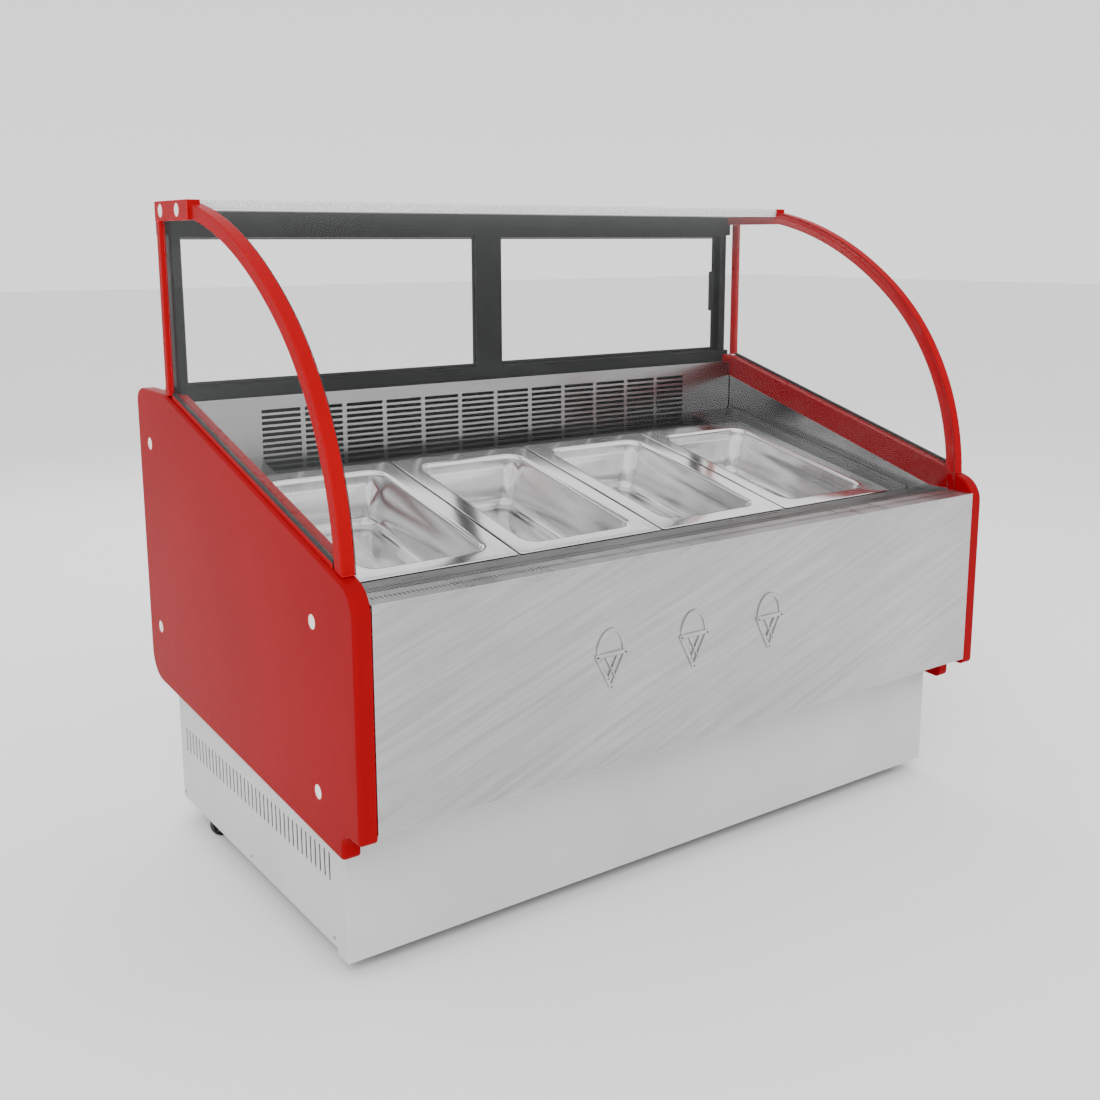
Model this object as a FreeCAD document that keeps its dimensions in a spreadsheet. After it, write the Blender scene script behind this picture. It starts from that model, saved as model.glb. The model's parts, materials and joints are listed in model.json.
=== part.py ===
import FreeCAD, Part
import math
import os
import Sketcher

# Ice cream dipping cabinet: a chest-height display with four lift-out pans under curved glass.
# All sub-parts are drawn in cabinet coordinates: X from the middle, Y from the front panel's face
# towards the staff side, Z from the floor. Each sub-part's Placement then brings the origin to the
# middle of the footprint.

DRIVING_SIZES = {
    # whole cabinet
    "overall_width": 1500.0,
    "overall_depth": 957.0,
    "overall_height": 1274.0,
    # red side panels
    "panel_thickness": 31.4,
    "panel_lip_height": 283.0,
    "panel_notch_depth": 61.0,
    "panel_toe_height": 235.0,
    "panel_heel_height": 296.0,
    "panel_top_height": 908.0,
    "panel_slope_rise": 0.281,
    "panel_slope_start": 687.4,
    "panel_edge_radius": 7.0,
    "cap_radius": 12.5,
    "cap_depth": 5.0,
    # steel front and deck
    "front_panel_bottom": 296.0,
    "front_panel_top": 666.0,
    "front_flange_depth": 62.0,
    "deck_start": 172.0,
    "deck_end": 757.0,
    "deck_slope_rise": 0.207,
    "deck_slope_start": 616.0,
    "sheet_thickness": 1.5,
    "pan_pitch": 332.0,
    "pan_flange_width": 328.0,
    "pan_flange_length": 490.0,
    "pan_opening_width": 244.0,
    "pan_opening_length": 412.0,
    "pan_depth": 110.0,
    # rear wall and ledge
    "wall_face": 757.0,
    "ledge_height": 893.0,
    "channel_start": 668.0,
    "channel_height": 728.0,
    "channel_half_width": 575.0,
    # glass superstructure
    "arch_width": 24.0,
    "arch_depth": 27.0,
    "arch_outset": 743.0,
    "arch_lower_centre_y": 588.7,
    "arch_lower_centre_z": 681.1,
    "arch_lower_radius": 515.0,
    "arch_upper_radius": 756.6,
    "arch_join_angle": 50.65,
    "arch_end": 609.0,
    "front_glass_thickness": 5.0,
    "bracket_bottom": 1238.0,
    "bracket_end": 784.0,
    "shelf_bottom": 1257.0,
    "door_frame_face": 787.0,
    "door_frame_depth": 31.0,
    "door_opening_half": 707.0,
    "door_opening_bottom": 919.0,
    "door_opening_top": 1212.0,
    "mullion_half": 34.0,
    # base
    "base_half_width": 725.0,
    "base_front": 108.0,
    "base_back": 878.0,
    "skirt_gap_front": 28.0,
    "skirt_gap_side": 39.0,
    "skirt_top": 294.0,
    "frame_bottom": 72.0,
    "tray_height": 102.0,
    # castors
    "castor_wheel_radius": 25.0,
    "castor_wheel_width": 18.0,
    "castor_trail": 16.0,
    "castor_half_spacing": 682.0,
    "castor_front": 170.0,
    "castor_rear": 735.0,
    "axle_radius": 4.0,
}


class Dim:
    """A size held both as a number and as the text of a spreadsheet expression."""

    def __init__(self, value, text):
        self.value = float(value)
        self.text = text

    def __add__(self, other):
        return joined(self, other, "+")

    def __radd__(self, other):
        return joined(other, self, "+")

    def __sub__(self, other):
        return joined(self, other, "-")

    def __rsub__(self, other):
        return joined(other, self, "-")

    def __mul__(self, other):
        return joined(self, other, "*")

    def __rmul__(self, other):
        return joined(other, self, "*")

    def __truediv__(self, other):
        return joined(self, other, "/")

    def __neg__(self):
        return joined(0, self, "-")


def as_dim(thing):
    if isinstance(thing, Dim):
        return thing
    return Dim(thing, "(%s)" % repr(float(thing)))


def joined(left, right, sign):
    left = as_dim(left)
    right = as_dim(right)
    results = {
        "+": left.value + right.value,
        "-": left.value - right.value,
        "*": left.value * right.value,
        "/": left.value / (right.value or 1.0),
    }
    return Dim(results[sign], "(%s %s %s)" % (left.text, sign, right.text))


doc = FreeCAD.newDocument("dipping_cabinet")
sheet = doc.addObject("Spreadsheet::Sheet", "Sheet")
SIZE = {}
for row, (alias, value) in enumerate(DRIVING_SIZES.items(), start=1):
    sheet.set("A%d" % row, alias)
    sheet.set("B%d" % row, str(value))
    sheet.setAlias("B%d" % row, alias)
    SIZE[alias] = Dim(value, "Sheet." + alias)
doc.recompute()

X_AXIS = FreeCAD.Vector(1, 0, 0)
Y_AXIS = FreeCAD.Vector(0, 1, 0)
Z_AXIS = FreeCAD.Vector(0, 0, 1)

NODES = {}
CLEAR = 0.3                 # gap left between neighbouring sub-parts
HALF_WIDTH = SIZE["overall_width"] / 2
INNER_HALF = HALF_WIDTH - SIZE["panel_thickness"]
BODY_HALF = INNER_HALF - 0.6
SHEET = SIZE["sheet_thickness"]


def number(thing):
    return as_dim(thing).value


def bind(item, name, amount):
    """Sets a property from a size and ties it to the spreadsheet."""
    item.setExpression(name, as_dim(amount).text)


def node(label, item, start=None):
    """Registers a finished sub-part and moves it into the cabinet's own frame.

    start is the depth at which the sub-part's own placement begins, where it isn't zero."""
    if start is None:
        start = item.Placement.Base.y
    item.Label = label
    bind(item, "Placement.Base.y", start - SIZE["overall_depth"] / 2)
    NODES[label] = item
    return item


def shape_node(label, shape):
    """A sub-part whose shape is set directly; its placement follows the shape."""
    item = doc.addObject("Part::Feature", label)
    item.Shape = shape
    return node(label, item)


# ---------------------------------------------------------------- primitives and booleans

def box(x_span, y_span, z_span, name="block"):
    item = doc.addObject("Part::Box", name)
    spans = (x_span, y_span, z_span)
    for side, axis, (low, high) in zip(("Length", "Width", "Height"), "xyz", spans):
        bind(item, side, as_dim(high) - low)
        bind(item, "Placement.Base." + axis, low)
    return item


def cylinder(centre, radius, length, axis="z", name="round"):
    """A cylinder that starts at centre and runs along the positive axis."""
    turns = {
        "x": FreeCAD.Rotation(FreeCAD.Vector(0, 1, 0), 90),
        "y": FreeCAD.Rotation(FreeCAD.Vector(1, 0, 0), -90),
        "z": FreeCAD.Rotation(),
    }
    item = doc.addObject("Part::Cylinder", name)
    item.Placement = FreeCAD.Placement(FreeCAD.Vector(), turns[axis])
    bind(item, "Radius", radius)
    bind(item, "Height", length)
    for letter, place in zip("xyz", centre):
        bind(item, "Placement.Base." + letter, place)
    return item


def fuse(pieces, name="joined"):
    item = doc.addObject("Part::MultiFuse", name)
    item.Shapes = pieces
    item.Refine = True
    return item


def cut(base, tool, name="trimmed"):
    item = doc.addObject("Part::Cut", name)
    item.Base = base
    item.Tool = tool
    item.Refine = True
    return item


# ---------------------------------------------------------------- bodies with sketches

def origin_plane(body, role):
    for feature in body.Origin.OriginFeatures:
        if feature.Role == role:
            return feature
    raise RuntimeError("no plane " + role)


def polygon_sketch(body, role, offset, corners, name):
    """A closed outline whose corners are each placed from the origin by two bound sizes."""
    sketch = body.newObject("Sketcher::SketchObject", name)
    sketch.AttachmentSupport = [(origin_plane(body, role), "")]
    sketch.MapMode = "FlatFace"
    bind(sketch, "AttachmentOffset.Base.z", offset)
    count = len(corners)
    points = [FreeCAD.Vector(number(u), number(v), 0) for u, v in corners]
    for index in range(count):
        start = points[index]
        end = points[(index + 1) % count]
        sketch.addGeometry(Part.LineSegment(start, end))
    for index in range(count):
        sketch.addConstraint(Sketcher.Constraint("Coincident", index, 2, (index + 1) % count, 1))
    for index, (u, v) in enumerate(corners):
        for kind, size in (("DistanceX", u), ("DistanceY", v)):
            place = sketch.addConstraint(Sketcher.Constraint(kind, -1, 1, index, 1, number(size)))
            sketch.setExpression("Constraints[%d]" % place, as_dim(size).text)
    return sketch


def pad(body, sketch, length, name="pad"):
    item = body.newObject("PartDesign::Pad", name)
    item.Profile = sketch
    bind(item, "Length", length)
    body.Tip = item
    return item


def pocket(body, sketch, length, backwards=False, name="pocket"):
    """Cuts a pocket and checks that it really removed material."""
    doc.recompute()
    before = body.Shape.Volume
    item = body.newObject("PartDesign::Pocket", name)
    item.Profile = sketch
    bind(item, "Length", length)
    item.Reversed = backwards
    body.Tip = item
    doc.recompute()
    if body.Shape.Volume >= before - 1e-3:
        raise RuntimeError("pocket %s cuts nothing" % name)
    return item


def edges_where(shape, test):
    return ["Edge%d" % (index + 1) for index, edge in enumerate(shape.Edges) if test(edge)]


def fillet(body, radius, test, name="fillet"):
    doc.recompute()
    item = body.newObject("PartDesign::Fillet", name)
    item.Base = (body.Tip if body.Tip != item else body.Group[-2], edges_where(body.Shape, test))
    bind(item, "Radius", radius)
    body.Tip = item
    doc.recompute()
    return item


def along(edge, axis):
    """True for a straight edge that runs along the given axis."""
    if not isinstance(edge.Curve, Part.Line):
        return False
    return abs(edge.Curve.Direction.dot(axis)) > 0.999


def near_corner(y, z):
    """Matches the edges along X that pass through a corner of a side outline."""
    def test(edge):
        middle = edge.CenterOfMass
        return along(edge, X_AXIS) and math.hypot(middle.y - number(y), middle.z - number(z)) < 1.0
    return test


def in_plane_x(x):
    def test(edge):
        box_of_edge = edge.BoundBox
        return abs(box_of_edge.XMin - x) < 0.01 and abs(box_of_edge.XMax - x) < 0.01
    return test


def side_prism(label, x_low, x_high, corners, rounds=()):
    """A body padded along X from an outline in Y and Z; rounds are (corner, radius) pairs."""
    body = doc.addObject("PartDesign::Body", label)
    outline = polygon_sketch(body, "YZ_Plane", x_low, corners, label + "_outline")
    pad(body, outline, as_dim(x_high) - x_low, label + "_pad")
    for index, radius in rounds:
        fillet(body, radius, near_corner(*corners[index]), "%s_round_%d" % (label, index))
    return body


def panel_slope(y):
    """Height of the side panel's sloping edge at depth y."""
    return SIZE["panel_slope_start"] + SIZE["panel_slope_rise"] * y


def deck_slope(y):
    """Height of the deck's top face at depth y."""
    return SIZE["deck_slope_start"] + SIZE["deck_slope_rise"] * y


# ---------------------------------------------------------------- slotted sheets

def rounded_slot(u, v, length_u, length_v):
    """Closed wire of a slot with its low corner at u, v, in a flat U-V plane."""
    radius = 0.49 * min(length_u, length_v)
    ends = []
    if length_u > length_v:
        for sign, centre in ((1, u + length_u - radius), (-1, u + radius)):
            ends.append((centre, v + length_v / 2, sign, 0))
    else:
        for sign, centre in ((1, v + length_v - radius), (-1, v + radius)):
            ends.append((u + length_u / 2, centre, 0, sign))
    half = min(length_u, length_v) / 2
    edges = []
    for centre_u, centre_v, du, dv in ends:
        start = FreeCAD.Vector(centre_u + dv * half, centre_v - du * half, 0)
        tip = FreeCAD.Vector(centre_u + du * half, centre_v + dv * half, 0)
        end = FreeCAD.Vector(centre_u - dv * half, centre_v + du * half, 0)
        edges.append(Part.Arc(start, tip, end).toShape())
    first, second = edges
    joins = [
        Part.LineSegment(first.valueAt(first.LastParameter), second.valueAt(second.FirstParameter)),
        Part.LineSegment(second.valueAt(second.LastParameter), first.valueAt(first.FirstParameter)),
    ]
    return Part.Wire([first, joins[0].toShape(), second, joins[1].toShape()])


def square_slot(u, v, length_u, length_v):
    corners = [(u, v), (u + length_u, v), (u + length_u, v + length_v), (u, v + length_v), (u, v)]
    return Part.makePolygon([FreeCAD.Vector(a, b, 0) for a, b in corners])


def slotted_sheet(u_span, v_span, thickness, slots):
    """A flat sheet in the U-V plane with inner wires for its slots, made thick along +W."""
    outer = square_slot(u_span[0], v_span[0], u_span[1] - u_span[0], v_span[1] - v_span[0])
    face = Part.makeFace([outer] + slots, "Part::FaceMakerBullseye")
    return face.extrude(FreeCAD.Vector(0, 0, thickness))


def stand_up(shape, y):
    """Turns a sheet drawn in U-V so that U is X, V is Z, and its front face is at depth y."""
    shape.rotate(FreeCAD.Vector(), X_AXIS, 90)
    shape.translate(FreeCAD.Vector(0, y + shape.BoundBox.YLength, 0))
    return shape


def stand_sideways(shape, x):
    """Turns a sheet drawn in U-V so that U is Y, V is Z, and it starts at x."""
    matrix = FreeCAD.Matrix(0, 0, 1, x, 1, 0, 0, 0, 0, 1, 0, 0, 0, 0, 0, 1)
    return shape.transformed(matrix)


# ---------------------------------------------------------------- side panels

CAP_SPOTS = [(890.0, 799.0), (890.0, 415.0), (147.0, 610.0), (147.0, 324.0)]
LAP_DEPTH = 7.0             # the panels lap over the base by this much


def side_panel(label, right):
    """A thick panel with a stepped lower front corner, rounded edges and blind holes for caps."""
    low = INNER_HALF if right else -HALF_WIDTH
    high = HALF_WIDTH if right else -INNER_HALF
    depth = SIZE["overall_depth"]
    top = SIZE["panel_top_height"]
    shoulder_y = 785.0
    corners = [
        (0.0, SIZE["panel_lip_height"]),
        (SIZE["panel_notch_depth"], SIZE["panel_lip_height"]),
        (SIZE["panel_notch_depth"], SIZE["panel_toe_height"]),
        (depth, SIZE["panel_heel_height"]),
        (depth, top),
        (shoulder_y, top),
        (0.0, SIZE["panel_slope_start"]),
    ]
    rounds = [(0, 10.0), (1, 24.0), (2, 11.0), (3, 60.0), (4, 28.0), (5, 60.0), (6, 55.0)]
    body = side_prism(label, low, high, corners, rounds)
    outer = number(high if right else low)
    inner = number(low if right else high)
    fillet(body, SIZE["panel_edge_radius"], in_plane_x(outer), label + "_outer_edge")
    fillet(body, 3.0, in_plane_x(inner), label + "_inner_edge")
    lap = [
        (SIZE["base_front"] - 2.0, 200.0),
        (SIZE["base_back"] + 2.0, 200.0),
        (SIZE["base_back"] + 2.0, SIZE["front_panel_bottom"] - 0.5),
        (SIZE["base_front"] - 2.0, SIZE["front_panel_bottom"] - 0.5),
    ]
    inner_face = low if right else high
    lap_sketch = polygon_sketch(body, "YZ_Plane", inner_face, lap, label + "_lap")
    pocket(body, lap_sketch, LAP_DEPTH, right, label + "_lap_pocket")
    holes = body.newObject("Sketcher::SketchObject", label + "_cap_holes")
    holes.AttachmentSupport = [(origin_plane(body, "YZ_Plane"), "")]
    holes.MapMode = "FlatFace"
    bind(holes, "AttachmentOffset.Base.z", high if right else low)
    for index, (y, z) in enumerate(CAP_SPOTS):
        holes.addGeometry(Part.Circle(FreeCAD.Vector(y, z, 0), Z_AXIS, number(SIZE["cap_radius"]) + 0.2))
        for kind, size in (("DistanceX", y), ("DistanceY", z)):
            holes.addConstraint(Sketcher.Constraint(kind, -1, 1, index, 3, size))
        place = holes.addConstraint(Sketcher.Constraint("Radius", index, number(SIZE["cap_radius"]) + 0.2))
        holes.setExpression("Constraints[%d]" % place, (SIZE["cap_radius"] + 0.2).text)
    pocket(body, holes, SIZE["cap_depth"], not right, label + "_cap_pockets")
    return node(label, body)


def cap_plugs(label, face_x, depth, spots):
    """Domed white plugs, one solid for each screw that they hide, on both sides."""
    plugs = []
    for sign in (-1, 1):
        for y, z in spots:
            low = face_x - depth if sign > 0 else -face_x
            plug = cylinder((low, y, z), SIZE["cap_radius"], depth, "x", label + "_plug")
            plugs.append(plug)
    group = doc.addObject("Part::Compound", label)
    group.Links = plugs
    return node(label, group)


side_panel("side_panel_left", False)
side_panel("side_panel_right", True)
cap_plugs("panel_caps", HALF_WIDTH - 0.1, SIZE["cap_depth"] - 0.2, CAP_SPOTS)


# ---------------------------------------------------------------- body, insulation, liner

BODY_FRONT = 2.0
BODY_BACK = 945.5
BODY_FLOOR = SIZE["front_panel_bottom"] + 1.8
LINER_FRONT = 44.0
LINER_BACK = 905.0
LINER_FLOOR = 338.0
FRONT_TOP = SIZE["front_panel_top"] - 6.0
LEDGE = SIZE["ledge_height"]


def trough(front, back, floor, front_top, back_top, wall):
    """Outline of a bent sheet that runs down the front, under, and up the back."""
    return [
        (front, floor), (back, floor), (back, back_top), (back - wall, back_top),
        (back - wall, floor + wall), (front + wall, floor + wall), (front + wall, front_top),
        (front, front_top),
    ]


def make_body():
    shell = side_prism("body_shell", -BODY_HALF, BODY_HALF,
                       trough(BODY_FRONT, BODY_BACK, BODY_FLOOR, FRONT_TOP, LEDGE - 4.0, SHEET))
    node("body_shell", shell)
    foam_front = BODY_FRONT + SHEET + 0.3
    foam_back = BODY_BACK - SHEET - 0.3
    foam_floor = BODY_FLOOR + SHEET + 0.3
    liner_top = LEDGE - 4.0
    foam = side_prism("insulation", -BODY_HALF, BODY_HALF, [
        (foam_front, foam_floor), (foam_back, foam_floor), (foam_back, liner_top),
        (LINER_BACK + 0.3, liner_top), (LINER_BACK + 0.3, LINER_FLOOR - 0.3),
        (LINER_FRONT - 0.3, LINER_FLOOR - 0.3), (LINER_FRONT - 0.3, FRONT_TOP - 2.0),
        (foam_front, FRONT_TOP - 2.0),
    ])
    node("insulation", foam)
    make_liner(liner_top)


def make_liner(liner_top):
    """Stainless tub: a bent trough closed by two end walls that rise to the sills."""
    half = BODY_HALF - 0.1
    trough_body = side_prism("liner_trough", -half, half,
                             trough(LINER_FRONT, LINER_BACK, LINER_FLOOR, FRONT_TOP - 2.0,
                                    liner_top, SHEET))
    pieces = [trough_body]
    wall_corners = [
        (LINER_FRONT, LINER_FLOOR), (LINER_BACK, LINER_FLOOR), (LINER_BACK, liner_top),
        (SIZE["wall_face"] - 1.0, liner_top), (110.0, panel_slope(110.0) - 10.0),
        (64.0, 684.0), (64.0, FRONT_TOP - 2.0), (LINER_FRONT, FRONT_TOP - 2.0),
    ]
    for name, low in (("liner_end_left", -half), ("liner_end_right", half - SHEET)):
        pieces.append(side_prism(name, low, low + SHEET, wall_corners))
    node("liner_tub", fuse(pieces, "liner_tub"))


make_body()


# ---------------------------------------------------------------- front panel and air strip

SLOT_PITCH = 8.0
FLANGE_SLOT = (2.6, 14.0)
STRIP_SLOT = (2.8, 17.0)
FRONT_HALF = INNER_HALF - 0.4


def row_of_slots(first, last, pitch, size, v, shift=0.0):
    """Upright slots side by side along U between two limits."""
    slots = []
    count = int((last - first) / pitch)
    for index in range(count):
        slots.append(square_slot(first + shift + index * pitch, v, size[0], size[1]))
    return slots


def make_front_panel():
    """Brushed front, its slotted top flange, and a short return under the bottom edge."""
    half = number(FRONT_HALF)
    thick = number(SHEET)
    top = number(SIZE["front_panel_top"])
    bottom = number(SIZE["front_panel_bottom"])
    depth = number(SIZE["front_flange_depth"])
    flange = slotted_sheet((-half, half), (0.0, depth), thick,
                           row_of_slots(-half + 16.0, half - 16.0, SLOT_PITCH, FLANGE_SLOT, 27.0))
    flange.translate(FreeCAD.Vector(0, 0, top - thick))
    front = Part.makeBox(2 * half, thick, top - bottom, FreeCAD.Vector(-half, 0, bottom))
    toe = Part.makeBox(2 * half, 30.0, thick, FreeCAD.Vector(-half, 0, bottom))
    down = Part.makeBox(2 * half, thick, 6.0, FreeCAD.Vector(-half, depth - thick, top - 6.0))
    shape_node("front_panel", front.fuse([flange, toe, down]).removeSplitter())


def make_air_strip():
    """Slotted strip between the front flange and the pans, with two staggered rows of slots."""
    half = number(FRONT_HALF) - 4.2
    front = number(SIZE["front_flange_depth"]) + 1.0
    back = number(SIZE["deck_start"])
    top = number(SIZE["front_panel_top"]) - 4.0
    rear_top = number(deck_slope(SIZE["deck_start"])) - 1.0
    length = math.hypot(back - front, top - rear_top)
    first = -half + 12.0
    last = half - 12.0
    slots = row_of_slots(first, last, SLOT_PITCH, STRIP_SLOT, 16.0)
    slots += row_of_slots(first, last, SLOT_PITCH, STRIP_SLOT, 40.0, SLOT_PITCH / 2)
    strip = slotted_sheet((-half, half), (0.0, length), 1.2, slots)
    strip.translate(FreeCAD.Vector(0, 0, -1.2))
    strip.rotate(FreeCAD.Vector(), X_AXIS, math.degrees(math.atan2(rear_top - top, back - front)))
    strip.translate(FreeCAD.Vector(0, front, top))
    shape_node("air_return_grille", strip)


make_front_panel()
make_air_strip()


# ---------------------------------------------------------------- deck and pans

DECK_HALF = 714.2
TILT = math.degrees(math.atan(number(SIZE["deck_slope_rise"])))
DECK_DROP = 2.2             # the plate's top face lies this far under the pan flanges
PAN_CENTRE_Y = 416.0
PAN_SHEET = 1.2
WALL_LEAN = 0.082
PAN_NAMES = ["pan_1", "pan_2", "pan_3", "pan_4"]


def pan_centre(index):
    return number(SIZE["pan_pitch"]) * (index - 1.5)


def on_deck(shape, x):
    """Places a shape drawn about its own centre onto the sloping deck."""
    shape.rotate(FreeCAD.Vector(), X_AXIS, TILT)
    shape.translate(FreeCAD.Vector(x, PAN_CENTRE_Y, number(deck_slope(PAN_CENTRE_Y))))
    return shape


def rounded_block(width, length, low, high, radius):
    """A block about the origin with rounded upright corners."""
    block = Part.makeBox(width, length, high - low, FreeCAD.Vector(-width / 2, -length / 2, low))
    upright = [edge for edge in block.Edges if along(edge, Z_AXIS)]
    return block.makeFillet(radius, upright)


def make_deck():
    """Sloping plate with four cut-outs, and the channel behind it below the rear grille."""
    start = number(SIZE["deck_start"])
    end = number(SIZE["deck_end"]) - 0.5
    thick = number(SHEET)
    channel_start = number(SIZE["channel_start"])
    channel_floor = number(SIZE["channel_height"])
    channel_half = number(SIZE["channel_half_width"])
    slope = math.cos(math.radians(TILT))
    front = (start - PAN_CENTRE_Y) / slope
    back = (end - PAN_CENTRE_Y - 1.0) / slope
    plate = Part.makeBox(2 * DECK_HALF, back - front, thick,
                         FreeCAD.Vector(-DECK_HALF, front, -DECK_DROP - thick))
    width = number(SIZE["pan_opening_width"]) + 26.0
    length = number(SIZE["pan_opening_length"]) + 26.0
    for index in range(len(PAN_NAMES)):
        hole = rounded_block(width, length, -30.0, 30.0, 40.0)
        hole.translate(FreeCAD.Vector(pan_centre(index), 0, 0))
        plate = plate.cut(hole)
    plate = on_deck(plate, 0.0)
    notch = Part.makeBox(2 * channel_half, end, 200.0,
                         FreeCAD.Vector(-channel_half, channel_start, 650.0))
    plate = plate.cut(notch)
    middle = DECK_DROP + thick / 2
    drop = number(deck_slope(channel_start)) - middle
    high = number(deck_slope(end)) - middle
    front_wall = Part.makeBox(2 * channel_half, thick, drop - channel_floor,
                              FreeCAD.Vector(-channel_half, channel_start - thick, channel_floor))
    floor = Part.makeBox(2 * channel_half, end - channel_start + thick, thick,
                         FreeCAD.Vector(-channel_half, channel_start - thick, channel_floor))
    pieces = [front_wall, floor]
    side = [(channel_start - thick, channel_floor), (end, channel_floor), (end, high),
            (channel_start - thick, drop), (channel_start - thick, channel_floor)]
    for sign in (-1, 1):
        wire = Part.makePolygon([FreeCAD.Vector(sign * channel_half, y, z) for y, z in side])
        pieces.append(Part.Face(wire).extrude(FreeCAD.Vector(sign * thick, 0, 0)))
    shape_node("deck_frame", plate.fuse(pieces).removeSplitter())


def make_pan(label, index):
    """A pressed pan: a wide flat flange and a well with rounded, slightly leaning walls."""
    depth = number(SIZE["pan_depth"])
    width = number(SIZE["pan_opening_width"])
    length = number(SIZE["pan_opening_length"])
    flange = rounded_block(number(SIZE["pan_flange_width"]), number(SIZE["pan_flange_length"]),
                           -PAN_SHEET, 0.0, 6.0)
    outer = tapered_well(width + 2 * PAN_SHEET, length + 2 * PAN_SHEET, 0.0, depth + PAN_SHEET, 30.0)
    inner = tapered_well(width, length, 1.0, depth, 30.0 - PAN_SHEET)
    shape_node(label, on_deck(flange.fuse(outer).cut(inner), pan_centre(index)))


def tapered_well(width, length, top, depth, radius):
    """The solid of a pan's well: rounded corners, walls that lean in towards the floor."""
    rings = []
    for level in (top, -depth):
        half_x = width / 2 + level * WALL_LEAN
        half_y = length / 2 + level * WALL_LEAN
        rings.append([FreeCAD.Vector(x, y, level) for x, y in (
            (-half_x, -half_y), (half_x, -half_y), (half_x, half_y), (-half_x, half_y))])
    upper, lower = rings
    faces = [Part.Face(Part.makePolygon(ring + ring[:1])) for ring in rings]
    for index in range(4):
        after = (index + 1) % 4
        side = [upper[index], upper[after], lower[after], lower[index], upper[index]]
        faces.append(Part.Face(Part.makePolygon(side)))
    well = Part.Solid(Part.Shell(faces))
    if well.Volume < 0:
        well.reverse()
    corners = [edge for edge in well.Edges
               if abs(edge.Vertexes[0].Z - edge.Vertexes[1].Z) > depth / 2]
    well = well.makeFillet(radius, corners)
    floor_edges = [edge for edge in well.Edges
                   if all(abs(vertex.Z + depth) < 1e-4 for vertex in edge.Vertexes)]
    return well.makeFillet(radius / 2, floor_edges)


make_deck()
for pan_index, pan_label in enumerate(PAN_NAMES):
    make_pan(pan_label, pan_index)


# ---------------------------------------------------------------- rear wall with its grille

GRILLE_HALF = 565.0
GRILLE_LOW = 740.0
GRILLE_ROWS = 11
GRILLE_ROW_PITCH = 11.9
GRILLE_COLUMNS = 12
GRILLE_RIB = 9.0
GRILLE_SLOT_HEIGHT = 7.6


def make_rear_wall():
    """Upright wall with rows of long slots, the ledge on top and a lip down the back."""
    half = number(BODY_HALF)
    wall_half = half - 4.0
    thick = number(SHEET)
    face = number(SIZE["wall_face"])
    ledge = number(LEDGE)
    bottom = number(SIZE["channel_height"]) + 2.0
    column_pitch = 2 * GRILLE_HALF / GRILLE_COLUMNS
    slots = []
    for column in range(GRILLE_COLUMNS):
        for line in range(GRILLE_ROWS):
            slots.append(square_slot(-GRILLE_HALF + column * column_pitch,
                                     GRILLE_LOW + line * GRILLE_ROW_PITCH,
                                     column_pitch - GRILLE_RIB, GRILLE_SLOT_HEIGHT))
    wall = stand_up(slotted_sheet((-wall_half, wall_half), (bottom, ledge), thick, slots), face)
    top = Part.makeBox(2 * half, number(BODY_BACK) + 2.0 - face, thick,
                       FreeCAD.Vector(-half, face, ledge - thick))
    lip = Part.makeBox(2 * half, thick, 34.0,
                       FreeCAD.Vector(-half, number(BODY_BACK) + 2.0 - thick, ledge - 34.0))
    shape_node("rear_wall_grille", wall.fuse([top, lip]).removeSplitter())


make_rear_wall()


# ---------------------------------------------------------------- sills, gaskets, posts

SILL_INNER = INNER_HALF - 4.0
SILL_OUTER = 735.5
SILL_RISE = 8.0
GASKET_RISE = 13.0
GLASS_START = 78.0
SKIRT_FOOT = 668.5          # the inner skirt's lower edge, level at the front
SKIRT_REAR = 858.0          # and where it ends at the rear wall
POST_FRONT = 760.0
POST_BACK = 783.0
POST_INNER = 737.0
POST_OUTER = 748.0


def band(low, high, y_front, y_back, rise_low, rise_high):
    """Corners of a strip that follows the side panel's slope between two rises above it."""
    return (low, high, [
        (y_front, panel_slope(y_front) + rise_low),
        (y_back, panel_slope(y_back) + rise_low),
        (y_back, panel_slope(y_back) + rise_high),
        (y_front, panel_slope(y_front) + rise_high),
    ])


def mirrored(low, high, right):
    return (low, high) if right else (-as_dim(high), -as_dim(low))


def glass_sill(label, right):
    """Red sill: a rail on the panel's slope and a deep skirt on the inside of the case."""
    end = SIZE["wall_face"] - 1.0
    low, high, corners = band(SILL_INNER + 1.6, SILL_OUTER, GLASS_START, end, 0.3, SILL_RISE)
    rail = side_prism(label + "_rail", *mirrored(low, high, right), corners)
    skirt_corners = [
        (GLASS_START - 12.0, SKIRT_FOOT), (110.0, SKIRT_FOOT), (end, SKIRT_REAR),
        (end, panel_slope(end) + SILL_RISE), (GLASS_START, panel_slope(GLASS_START) + SILL_RISE),
        (GLASS_START - 12.0, panel_slope(GLASS_START - 12.0) + SILL_RISE),
    ]
    skirt = side_prism(label + "_skirt", *mirrored(SILL_INNER, SILL_INNER + 1.6, right), skirt_corners)
    node(label, fuse([rail, skirt], label))


def make_gaskets():
    pieces = []
    for right in (False, True):
        low, high, corners = band(736.0, 742.4, GLASS_START, 758.0, 0.3, GASKET_RISE)
        pieces.append(side_prism("gasket_strip", *mirrored(low, high, right), corners))
    group = doc.addObject("Part::Compound", "glass_gaskets")
    group.Links = pieces
    node("glass_gaskets", group)


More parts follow.
